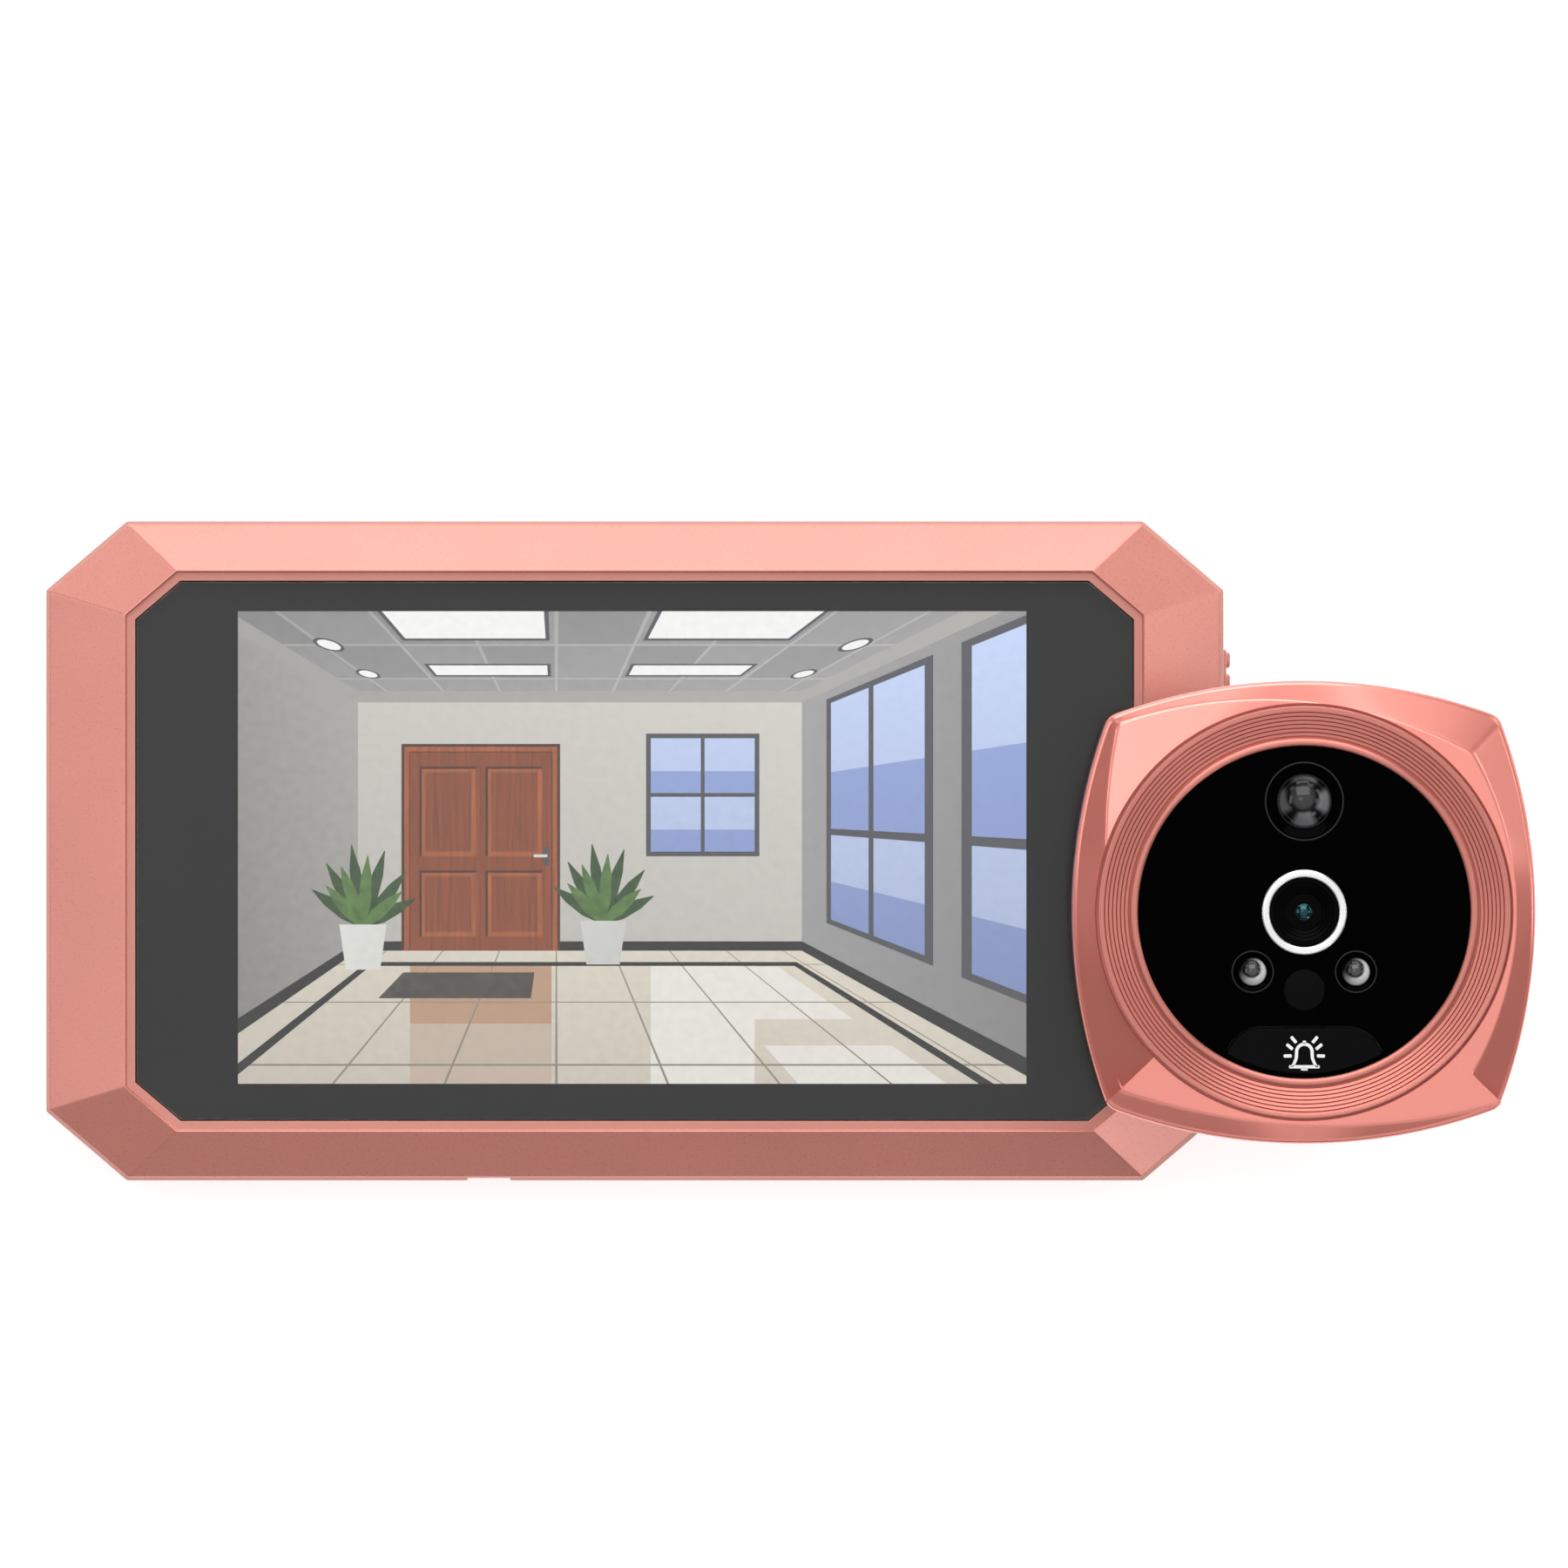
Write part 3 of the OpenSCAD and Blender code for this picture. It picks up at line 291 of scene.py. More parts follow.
def build_turned_group():
    inputs = SURFACE_INPUTS | {"Vector": (0, 0, 0), "Circles": 9000.0}
    tree, entry, leave = new_group("turned_circles", inputs, SURFACE_OUTPUTS)
    radius = vector_calc(tree, "LENGTH", vector_calc(tree, "MULTIPLY", entry["Vector"], FLAT))
    circles = add_node(tree, "TexNoise", None, radius, entry["Circles"], 2.0, noise_dimensions="1D")
    put_out_surface(tree, entry, leave, circles.outputs["Fac"], GRAIN_SPAN)
    return tree


turned_circles = build_turned_group()

# %% [markdown]
# The motion lens is moulded with a middle disc and segments round it, and an infrared lamp has a
# bright cup round its dark chip. The pale tone of the segments and the bright cup are painted
# reflections, drawn into the colour. Both are patterns of radius and angle. The Mapping node scales the
# lens to a radius of 1, so the group can count in shares of the radius. The disc sits a little above
# the middle, and the segments are painted brighter on the right, which is painted light, as the photo
# shows them.

# %% The lens pattern group
LENS_INPUTS = {
    "Vector": (0, 0, 0),
    "Colour": (0.01, 0.01, 0.01, 1),
    "Light": (0.2, 0.2, 0.2, 1),
    "Disc": 0.5,
    "Segments": 4.0,
    "Turn": 0.0,
    "Lift": (-0.06, 0.2, 0),
}
LIGHT_TURN = 0.6


def build_segment_group():
    tree, entry, leave = new_group("lens_segments_and_reflections", LENS_INPUTS, ("Colour", "Roughness"))
    flat = vector_calc(tree, "MULTIPLY", entry["Vector"], FLAT)
    from_middle = vector_calc(tree, "LENGTH", flat)
    from_disc = vector_calc(tree, "DISTANCE", flat, entry["Lift"])
    parts = add_node(tree, "SeparateXYZ", flat).outputs
    angle = calc(tree, "ARCTAN2", parts["Y"], parts["X"])
    turned = calc(tree, "MULTIPLY_ADD", angle, entry["Segments"], entry["Turn"])
    # Painted reflection: the pale lobes are reflections drawn into the colour, and below they are made
    # brighter towards the right, which is painted light.
    lobes = value_range(tree, calc(tree, "SINE", turned), 0.0, 1.0, -0.9, 0.1)
    sideways = calc(tree, "COSINE", calc(tree, "ADD", angle, LIGHT_TURN))
    lit = calc(tree, "MULTIPLY", lobes, value_range(tree, sideways, 0.4, 1.0, -1.0, 1.0))
    disc = calc(tree, "MULTIPLY", value_range(tree, from_disc, 1.0, 0.0, 0.4, 0.52), entry["Disc"])
    outside_disc = value_range(tree, from_disc, 0.0, 1.0, 0.56, 0.7)
    inside_edge = value_range(tree, from_middle, 1.0, 0.0, 0.88, 0.98)
    segments = calc(tree, "MULTIPLY", calc(tree, "MULTIPLY", outside_disc, inside_edge), lit)
    share = calc(tree, "MAXIMUM", disc, segments)
    blend = add_node(tree, "Mix", share, data_type="RGBA")
    tree.links.new(entry["Colour"], blend.inputs[6])
    tree.links.new(entry["Light"], blend.inputs[7])
    tree.links.new(blend.outputs[2], leave["Colour"])
    tree.links.new(value_range(tree, share, 0.08, 0.2), leave["Roughness"])
    return tree


lens_segments_and_reflections = build_segment_group()

# %% [markdown]
# A material is then a Principled shader that takes its changing values from one of these groups and
# keeps its constant values on its own sockets. Colours are written as the eye sees them, from 0 to
# 255, and turned into the linear values that Blender counts in.

# %% Materials from the groups


def linear(red, green, blue):
    def channel(value):
        share = value / 255
        return share / 12.92 if share <= 0.04045 else ((share + 0.055) / 1.055) ** 2.4

    return (channel(red), channel(green), channel(blue), 1.0)


def new_material(name):
    material = bpy.data.materials.new(name)
    material.use_nodes = True
    return material, material.node_tree, material.node_tree.nodes["Principled BSDF"]


def grouped_material(name, group, group_values, constants=None, bump=None, axis=None, spread=1.0):
    material, tree, shader = new_material(name)
    look = add_node(tree, "Group", node_tree=group)
    set_inputs(look, group_values)
    set_inputs(shader, constants or {})
    if axis is not None:
        shift = (-axis[0] * MM * spread, -axis[1] * MM * spread, 0)
        size = (spread, spread, spread)
        centred = add_node(tree, "Mapping", object_place(tree), shift, None, size, vector_type="POINT")
        tree.links.new(centred.outputs["Vector"], look.inputs["Vector"])
    tree.links.new(look.outputs["Colour"], shader.inputs["Base Color"])
    tree.links.new(look.outputs["Roughness"], shader.inputs["Roughness"])
    if bump is not None:
        relief = add_node(tree, "Bump", bump[0], bump[1] * MM)
        tree.links.new(look.outputs["Height"], relief.inputs["Height"])
        tree.links.new(relief.outputs["Normal"], shader.inputs["Normal"])
    return material


def surface(name, group, colour, gloss, contrast=0.1, constants=None, bump=None, axis=None, **pattern):
    values = {"Colour": linear(*colour), "Contrast": contrast}
    values |= {"Gloss low": gloss[0], "Gloss high": gloss[1]} | pattern
    return grouped_material(name, group, values, constants, bump, axis)


print("materials can be made")

# %% [markdown]
# The case and the head are sprayed alike, and a clear lacquer lies over the rose. The lacquer mirrors
# the lamps white while the paint below stays red, which is why bright facets look pale and dark ones
# rich. The lip and the case's outer edge get a darker, duller copy of the case paint: its darker colour
# is painted shade, standing in for the shade that falls on the lip and on the steep outer edge. The ring
# is turned and then tinted, and its gloss is stretched across the grooves, so it falls into light and
# dark sectors.

# %% Paints
house_low, house_high = box_mm("outer_housing")
HEAD_AXIS = middle_of(house_low, house_high)
HEAD_X, HEAD_Y = HEAD_AXIS
TURNED_GLOSS = {"Anisotropic Rotation": 0.25}

case_paint = surface(
    "case_paint",
    paint_flakes,
    (240, 155, 141),
    (0.27, 0.29),
    0.025,
    {"Metallic": 0.35, "Coat Weight": 0.6, "Coat Roughness": 0.28, "Coat IOR": 1.6},
    bump=(0.01, 0.02),
)
# Painted shade: a darker copy of the case paint for the lip and the outer edge.
edge_painted_shade = surface(
    "edge_painted_shade", paint_flakes, (206, 138, 126), (0.36, 0.42), 0.03, {"Metallic": 0.35}, bump=(0.015, 0.03)
)
head_paint = surface(
    "head_paint",
    paint_flakes,
    (246, 142, 127),
    (0.23, 0.27),
    0.03,
    {"Metallic": 0.5, "Coat Weight": 1.0, "Coat Roughness": 0.25, "Coat IOR": 1.7},
    bump=(0.01, 0.02),
)
ring_paint = surface(
    "ring_paint",
    turned_circles,
    (210, 130, 118),
    (0.26, 0.4),
    0.08,
    TURNED_GLOSS | {"Metallic": 0.65, "Anisotropic": 0.8},
    bump=(0.25, 0.02),
    axis=HEAD_AXIS,
    Circles=7000.0,
)
print("paints:", case_paint.name, edge_painted_shade.name, head_paint.name, ring_paint.name)

# %% [markdown]
# The other finishes are plain ones: black and grey plastics, printed layers, foil, boards and foam.
# All of them use the grain group and differ in colour, gloss and contrast, so a table names them. A
# low specular level keeps the face of the camera as deep a black as smoked plastic is.

# %% Plain finishes
plain_finishes = {
    "face_black": ((1, 1, 1), (0.05, 0.09), 0.1, {"Specular IOR Level": 0.01}),
    "button_black": ((11, 11, 12), (0.3, 0.4), 0.12, {"Specular IOR Level": 0.03}),
    "rim_grey": ((40, 40, 42), (0.3, 0.4), 0.1, {"Specular IOR Level": 0.1}),
    "barrel_black": ((3, 3, 3), (0.3, 0.4), 0.2, {"Specular IOR Level": 0.03}),
    "mask_print": ((35, 35, 35), (0.5, 0.6), 0.04, {"Specular IOR Level": 0.1}),
    "sign_white": ((246, 246, 246), (0.5, 0.7), 0.03),
    "chip_black": ((26, 26, 28), (0.4, 0.6), 0.2, None, (0.15, 0.03)),
    "solder_green": ((38, 96, 62), (0.3, 0.45), 0.15),
    "connector_cream": ((226, 221, 206), (0.4, 0.55), 0.05),
}
plain = {name: surface(name, surface_grain, *values) for name, values in plain_finishes.items()}
plain["foam"] = surface(
    "foam", surface_grain, (34, 34, 35), (0.85, 1.0), 0.45, bump=(0.7, 0.25), Stretch=(1800, 1800, 1800)
)
print("plain finishes:", len(plain))

# %% [markdown]
# Metals come last. Brushed steel and foil have their grain stretched along one direction. The washer,
# the nut and the barrel are turned, and so is the bright ring round the camera.

# %% Metals
steel = surface(
    "steel",
    surface_grain,
    (190, 191, 194),
    (0.22, 0.42),
    0.06,
    {"Metallic": 1.0},
    bump=(0.08, 0.02),
    Stretch=(300, 9000, 9000),
)
battery_foil = surface(
    "battery_foil",
    surface_grain,
    (196, 198, 201),
    (0.25, 0.45),
    0.05,
    {"Metallic": 0.9},
    Stretch=(400, 3000, 3000),
)
turned_steel = surface(
    "turned_steel",
    turned_circles,
    (196, 197, 200),
    (0.2, 0.4),
    constants={"Metallic": 1.0},
    bump=(0.1, 0.02),
    axis=HEAD_AXIS,
    Circles=6000.0,
)
bright_ring = surface(
    "bright_ring",
    turned_circles,
    (240, 240, 241),
    (0.2, 0.32),
    constants=TURNED_GLOSS | {"Metallic": 0.8, "Anisotropic": 0.7},
    bump=(0.12, 0.01),
    axis=HEAD_AXIS,
)
print("metals:", steel.name, battery_foil.name, turned_steel.name, bright_ring.name)

# %% [markdown]
# ## Clear pieces
# The cover glass lies flat on its print, so light has to reach the print through it. A refracting
# shader alone would keep the lamps' light out and leave grain in the picture, so only rays that look
# into the glass are refracted, and the light on its way to the print passes a transparent shader. The
# camera's front lens shows only its coating, so it is a black surface with a blue-green gloss.

# %% Glass and lens materials
SMEAR_GLOSS = {"Stretch": (90, 60, 90), "Gloss low": 0.11, "Gloss high": 0.15}


def glass_material(name, constants):
    material, tree, shader = new_material(name)
    set_inputs(shader, constants)
    smears = add_node(tree, "Group", node_tree=surface_grain)
    set_inputs(smears, SMEAR_GLOSS)
    tree.links.new(smears.outputs["Roughness"], shader.inputs["Roughness"])
    rays = add_node(tree, "LightPath").outputs
    looked_into = calc(tree, "MAXIMUM", rays["Is Camera Ray"], rays["Is Transmission Ray"])
    clear = add_node(tree, "BsdfTransparent").outputs["BSDF"]
    choose = add_node(tree, "MixShader", looked_into, clear, shader.outputs["BSDF"])
    tree.links.new(choose.outputs["Shader"], tree.nodes["Material Output"].inputs["Surface"])
    return material


cover_clear = glass_material(
    "cover_clear",
    {
        "Base Color": (0.97, 0.98, 0.98, 1),
        "IOR": 1.45,
        "Specular IOR Level": 0.06,
        "Transmission Weight": 1.0,
    },
)
lens_coated = surface(
    "lens_coated",
    surface_grain,
    (3, 5, 6),
    (0.05, 0.08),
    constants={"Specular IOR Level": 0.9, "Specular Tint": (0.3, 0.9, 1.0, 1)},
)
print("clear finishes:", cover_clear.name, lens_coated.name)

# %% [markdown]
# ## The screen case
# The front frame is a moulding with eight sloping facets round a cut-corner opening. Its outline at
# each level is a rectangle with cut corners. One formula gives such an outline at any inset, with
# corners that shrink as a real offset does, so all levels stay parallel.

# %% Outlines of the case
frame_low, frame_high = box_mm("front_frame")
glass_low, glass_high = box_mm("cover_glass")
mask_low, mask_high = box_mm("screen_mask")
CORNER_CUT_X, CORNER_CUT_Y = 9.6, 8.2
SIDE_FACET_W, TOP_FACET_W = 9.6, 6.0
FACET_DROP = 4.7
RIM_CUT_X = 6.1
RIM_CUT_Y = RIM_CUT_X * CORNER_CUT_Y / CORNER_CUT_X
CASE_HALF_W, CASE_HALF_H = frame_high.x, frame_high.y
RIM_HALF_W = CASE_HALF_W - SIDE_FACET_W
RIM_HALF_H = CASE_HALF_H - TOP_FACET_W


def cut_corners(half_w, half_h, cut_x, cut_y, inset=0.0):
    x, y = half_w - inset, half_h - inset
    shrink = 1 + inset * (math.hypot(1 / cut_x, 1 / cut_y) - 1 / cut_x - 1 / cut_y)
    a, b = cut_x * shrink, cut_y * shrink
    right = [(x - a, -y), (x, b - y), (x, y - b), (x - a, y)]
    return right + [(-px, -py) for px, py in right]


def case_outline(inset=0.0):
    return cut_corners(CASE_HALF_W, CASE_HALF_H, CORNER_CUT_X, CORNER_CUT_Y, inset)


def rim_outline(inset=0.0):
    return cut_corners(RIM_HALF_W, RIM_HALF_H, RIM_CUT_X, RIM_CUT_Y, inset)


def edge_loop(bm, outline, z):
    verts = [bm.verts.new((x, y, z)) for x, y in outline]
    return [bm.edges.new((verts[i - 1], verts[i])) for i in range(len(verts))]


print("case", 2 * CASE_HALF_W, "by", 2 * CASE_HALF_H, "mm")

# %% [markdown]
# A nail fits into a small notch in the lower edge, to lift the frame off the rear cover. The notch is
# made after the frame: planes cut the edge's faces across, and the points between the planes are
# pushed in.

# %% Bevels and the nail notch
EDGE_CHAMFER_W, EDGE_CHAMFER_H = 0.4, 0.7
NOTCH_X = -17.4
NOTCH_HALF_W = 2.55
NOTCH_DEEP = 0.3
NOTCH_SIDE = 0.12
NOTCH_SLACK = 0.01
CUT_SLACK = 0.001


def bevel_edges(bm, edges, width, segments=3):
    return bmesh.ops.bevel(
        bm,
        geom=edges,
        offset=width,
        offset_type="OFFSET",
        segments=segments,
        profile=0.5,
        affect="EDGES",
        material=-1,
        clamp_overlap=True,
    )["verts"]


def cut_nail_notch(bm):
    edge_y = -CASE_HALF_H
    for reach in (-NOTCH_HALF_W - NOTCH_SIDE, -NOTCH_HALF_W, NOTCH_HALF_W, NOTCH_HALF_W + NOTCH_SIDE):
        faces = [f for f in bm.faces if f.calc_center_median().y < edge_y + EDGE_CHAMFER_W]
        parts = set(faces)
        for face in faces:
            parts.update(face.edges)
            parts.update(face.verts)
        plane = (NOTCH_X + reach, 0, 0)
        bmesh.ops.bisect_plane(bm, geom=list(parts), dist=CUT_SLACK, plane_co=plane, plane_no=(1, 0, 0))
    for vert in bm.verts:
        if abs(vert.co.x - NOTCH_X) < NOTCH_HALF_W + NOTCH_SLACK:
            vert.co.y = max(vert.co.y, edge_y + NOTCH_DEEP)


print("notch", 2 * NOTCH_HALF_W, "mm wide")

# %% [markdown]
# Each level of the frame is a loop of eight edges. Bridging the loops from the outside over the rim to
# the inside makes the whole section, which is far less work than placing faces one by one. Bevels then
# break the creases. The lip and the chamfer of the outer edge get the darker paint, which is painted
# shade, and the height and the slope of a face tell where they are.

# %% Front frame
FRAME_BEVEL = 0.2
LIP_BEVEL = 0.06
LIP_W = 1.15
LIP_STEP_W = 0.14
LIP_STEP_SHARE = 0.97
LIP_DROP = 0.8
CASE_WALL = 2.0
LIP_BELOW, LIP_ABOVE, LIP_FLAT = 0.1, 0.3, 0.9
EDGE_ABOVE, EDGE_STEEP, EDGE_FLAT = 0.1, 0.2, 0.72


def build_front_frame():
    bm = bmesh.new()
    rim_z = frame_high.z
    edge_z = rim_z - FACET_DROP
    lip_z = rim_z - LIP_DROP
    levels = [
        (case_outline(), frame_low.z),
        (case_outline(), edge_z - EDGE_CHAMFER_H),
        (case_outline(EDGE_CHAMFER_W), edge_z + EDGE_CHAMFER_W * FACET_DROP / SIDE_FACET_W),
        (rim_outline(), rim_z),
        (rim_outline(LIP_STEP_W), rim_z - LIP_DROP * LIP_STEP_SHARE),
        (rim_outline(LIP_W), lip_z),
        (rim_outline(LIP_W), mask_low.z),
        (case_outline(CASE_WALL), frame_low.z),
    ]
    loops = [edge_loop(bm, outline, z) for outline, z in levels]
    for low, high in zip(loops, loops[1:] + loops[:1]):
        bmesh.ops.bridge_loops(bm, edges=low + high)
    bmesh.ops.recalc_face_normals(bm, faces=bm.faces)
    outer_corners = [v for loop in loops[:4] for e in loop for v in e.verts]
    creases = [e for e in bm.edges if all(v in outer_corners for v in e.verts)]
    lip = [e for loop in loops[4:6] for e in loop]
    bevel_edges(bm, creases, FRAME_BEVEL)
    bevel_edges(bm, lip, LIP_BEVEL)
    cut_nail_notch(bm)
    # Faces of the lip and of the outer edge's chamfer get painted shade: the second, darker paint.
    for face in bm.faces:
        height, facing = face.calc_center_median().z, face.normal.z
        on_lip = lip_z - LIP_BELOW < height < rim_z - LIP_ABOVE and facing > LIP_FLAT
        on_edge = height < edge_z + EDGE_ABOVE and EDGE_STEEP < facing < EDGE_FLAT
        face.material_index = int(on_lip or on_edge)
    paints = [case_paint, edge_painted_shade]
    finish_piece(bm, "painted_front_frame", paints, "screen_unit", "case_paint", "front_frame")


build_front_frame()

# %% [markdown]
# The cover glass is a plain plate with the same cut corners, ground at its edge. A flat piece starts
# from a circle with as many points as its outline has, which are laid on the outline and extruded.
# Below the glass the printed border is a thin layer with a window, which the CAD node already has.

# %% Cover glass
GLASS_BEVEL = 0.15
GLASS_GAP = 0.1


def plate_from_outline(bm, outline, low_z, high_z):
    ring = bmesh.ops.create_circle(bm, cap_ends=True, radius=1, segments=len(outline))["verts"]
    for vert, point in zip(ring, outline):
        vert.co = (point[0], point[1], low_z)
    base = [f for f in bm.faces if all(v in ring for v in f.verts)]
    grown = bmesh.ops.extrude_face_region(bm, geom=base)["geom"]
    top = [g for g in grown if isinstance(g, bmesh.types.BMVert)]
    bmesh.ops.translate(bm, vec=(0, 0, high_z - low_z), verts=top)
    return top


def build_cover_glass():
    bm = bmesh.new()
    plate_from_outline(bm, rim_outline(LIP_W + GLASS_GAP), glass_low.z, glass_high.z)
    level = [e for e in bm.edges if e.verts[0].co.z == e.verts[1].co.z]
    bevel_edges(bm, level, GLASS_BEVEL, segments=2)
    finish_piece(bm, "clear_cover_glass", [cover_clear], "screen_unit", "cover_glass", "cover_glass")


build_cover_glass()

# %% [markdown]
# ## The side key
# The key is a ridged push key in the right edge. Its face shows ridges across the pushing direction,
# which a finger feels. A box is bevelled, and half-round bars on its face make the ridges.

# %% Side key
key_low, key_high = box_mm("side_key")
KEY_LENGTH = 13.0
KEY_HEIGHT = 4.0
KEY_RIDGES = 5
KEY_FLANGE_T = 1.2
KEY_BEVEL = 0.3
RIDGE_RISE = 0.45
RIDGE_HALF_SHARE = 0.36
RIDGE_ROUND = 0.8


def block(bm, low, high):
    made = bmesh.ops.create_cube(bm, size=1)["verts"]
    size = Vector(high) - Vector(low)
    bmesh.ops.scale(bm, vec=size, verts=made)
    bmesh.ops.translate(bm, vec=(Vector(low) + Vector(high)) / 2, verts=made)
    return made


def edges_of(verts):
    return list({e for v in verts for e in v.link_edges})


def build_side_key():
    bm = bmesh.new()
    middle = (key_low + key_high) / 2
    half = KEY_HEIGHT / 2
    face_x = key_high.x - RIDGE_RISE
    flange = block(bm, key_low, (key_low.x + KEY_FLANGE_T, key_high.y, key_high.z))
    bevel_edges(bm, edges_of(flange), KEY_BEVEL)
    stem = block(
        bm,
        (key_low.x, middle.y - KEY_LENGTH / 2, middle.z - half),
        (face_x, middle.y + KEY_LENGTH / 2, middle.z + half),
    )
    bevel_edges(bm, edges_of(stem), KEY_BEVEL)
    pitch = KEY_LENGTH / KEY_RIDGES
    for i in range(KEY_RIDGES):
        y = middle.y + (i - (KEY_RIDGES - 1) / 2) * pitch
        ridge = block(
            bm,
            (face_x - RIDGE_RISE, y - pitch * RIDGE_HALF_SHARE, middle.z - half + KEY_BEVEL),
            (key_high.x, y + pitch * RIDGE_HALF_SHARE, middle.z + half - KEY_BEVEL),
        )
        bevel_edges(bm, edges_of(ridge), RIDGE_RISE * RIDGE_ROUND, segments=4)
    finish_piece(bm, "ridged_side_key", [case_paint], "side_key", "case_paint", "side_key")


build_side_key()

# %% [markdown]
# ## The camera head's housing
# The housing is cast metal, shaped like a cushion: four bulging sides, four slanting facets that
# widen to one of their corners, and a round pocket for the trim ring. Each facet starts at a large
# circle and slopes down beyond it, so a formula gives the height of the face at any point. Below the
# two lower diagonals the side facets stop, which leaves the crisp steps there.

# %% Shape of the housing
HEAD_HALF = (house_high.x - house_low.x) / 2
BULGE_R = 65.1
FACET_ROUND = 0.2
CORNER_ROUND = 0.8
LOW_SPREAD = 46
STEP_TURN = 0.15
CORNER_FALL = 0.1
FALL_START = 22.0
FALL_BLEND = 2.0
facet_shapes = {
    "top": (-4.95, 51.6, 2.4, (0, 1)),
    "left": (8.8, 63.2, 4.1, (-1, 0)),
    "right": (-0.2, 37.6, 2.5, (1, 0)),
    "low": (3.2, 76.0, 2.3, (0, -1)),
}
facet_slopes = {"top": 0.62, "left": 0.62, "right": 0.62, "low": 0.42}


def facet_circle(shift, radius, width, side):
    reach = HEAD_HALF - width - radius
    return (side[0] * reach + abs(side[1]) * shift, side[1] * reach + abs(side[0]) * shift, radius)


head_facets = {name: facet_circle(*shape) for name, shape in facet_shapes.items()}


def soft_step(distance, blend):
    if distance <= -blend:
        return 0.0
    if distance >= blend:
        return distance
    return (distance + blend) ** 2 / (4 * blend)


def soft_max(a, b, blend):
    return b + soft_step(a - b, blend)


def face_height(x, y):
    fall = 0.0
    from_low = abs(math.degrees(math.atan2(y, x)) + 90)
    below_diagonals = from_low < LOW_SPREAD + STEP_TURN / 2
    for name, (cx, cy, radius) in head_facets.items():
        if below_diagonals and name in ("left", "right"):
            continue
        beyond = math.hypot(x - cx, y - cy) - radius
        facet_fall = facet_slopes[name] * soft_step(beyond, FACET_ROUND)
        fall = soft_max(facet_fall, fall, FACET_ROUND / 2)
    to_corner = (abs(x) + abs(y)) / math.sqrt(2)
    return house_high.z - fall - CORNER_FALL * soft_step(to_corner - FALL_START, FALL_BLEND)


def side_reach(angle, inset=0.0):
    offset = BULGE_R - HEAD_HALF
    radius = BULGE_R - inset
    hits = []
    for along in (abs(math.cos(angle)), abs(math.sin(angle))):
        hits.append(-along * offset + math.sqrt((along * offset) ** 2 + radius**2 - offset**2))
    return -soft_max(-hits[0], -hits[1], CORNER_ROUND)


print("facets", {name: tuple(round(v, 2) for v in f) for name, f in head_facets.items()})

# %% [markdown]
# The section of the housing goes from the inner wall round the foot, up the side, over the rounded
# edge, across the face and down into the pocket. Each of its points is a station: a function that
# gives the radius and the height at any angle, because the sides and the facets change with the angle.

# %% Stations of the housing
ring_low, ring_high = box_mm("trim_ring")
RING_R = ring_high.x - HEAD_X
RING_GAP = 0.2
POCKET_R = RING_R + RING_GAP
POCKET_Z = ring_low.z
SHELF_R = POCKET_R - 1.8
SHELF_Z = POCKET_Z - 1.2
HEAD_WALL = 2.2
FOOT_ROUND = 0.1
EDGE_ROUND = 0.45
EDGE_TALL = EDGE_ROUND * 1.2
EDGE_STEPS = 5
MOUTH_ROUND = 0.15
FACE_STATIONS = 26


def on_face(angle, share):
    outer = side_reach(angle) - EDGE_ROUND
    radius = outer + (POCKET_R + MOUTH_ROUND - outer) * share
    return radius, face_height(radius * math.cos(angle), radius * math.sin(angle))


def on_edge_curve(angle, turn):
    radius, height = on_face(angle, 0.0)
    return radius + EDGE_ROUND * math.cos(turn), height - EDGE_TALL + EDGE_TALL * math.sin(turn)


def housing_stations():
    stations = [
        lambda a: (side_reach(a, HEAD_WALL), house_low.z),
        lambda a: (side_reach(a, EDGE_ROUND), house_low.z),
        lambda a: (side_reach(a, FOOT_ROUND), house_low.z + FOOT_ROUND),
        lambda a: (side_reach(a), house_low.z + EDGE_ROUND),
    ]
    for i in range(EDGE_STEPS):
        stations.append(lambda a, i=i: on_edge_curve(a, math.pi / 2 * i / EDGE_STEPS))
    for i in range(FACE_STATIONS + 1):
        stations.append(lambda a, i=i: on_face(a, i / FACE_STATIONS))
    stations += [
        lambda a: (POCKET_R, on_face(a, 1.0)[1] - MOUTH_ROUND),
        lambda a: (POCKET_R, POCKET_Z),
        lambda a: (SHELF_R, POCKET_Z),
        lambda a: (SHELF_R, SHELF_Z),
        lambda a: (side_reach(a, HEAD_WALL), SHELF_Z),
    ]
    return stations


print("stations", len(housing_stations()))

# %% [markdown]
# All stations go round the same axis, so a row of points is spun first, with the radius of each point
# used as the number of its station. Then each point is moved to where its station says. The spun ray
# next to each lower diagonal is drawn close to it, so that the step there is sharp and has no nicks.

# %% Housing
HOUSING_STEPS = 360


def ray_angle(x, y):
    degrees = round(math.degrees(math.atan2(y, x)))
    from_low = degrees + 90
    if abs(from_low) == LOW_SPREAD + 1:
        degrees = math.copysign(LOW_SPREAD + STEP_TURN, from_low) - 90
    return math.radians(degrees)


def build_housing():
    stations = housing_stations()
    numbered = [(number + 1.0, 0.0) for number in range(len(stations))]
    bm = spun(numbered, [(0, 0)], steps=HOUSING_STEPS)
    bmesh.ops.remove_doubles(bm, verts=bm.verts, dist=MERGE_DISTANCE)
    for vert in bm.verts:
        number = round(math.hypot(vert.co.x, vert.co.y)) - 1
        angle = ray_angle(vert.co.x, vert.co.y)
        radius, height = stations[number](angle)
        vert.co = (HEAD_X + radius * math.cos(angle), HEAD_Y + radius * math.sin(angle), height)
    finish_piece(bm, "painted_housing", [head_paint], "camera_head", "head_paint", "outer_housing")


build_housing()

# %% [markdown]
# ## The trim ring
# The ring is turned: a flat outer rim, a band of fine grooves that falls towards the middle, and a
# smooth bead round the black disc. The section holds every groove, and a spin makes the ring. The
# ledge below the disc is black, so that no rose shows through the gap.

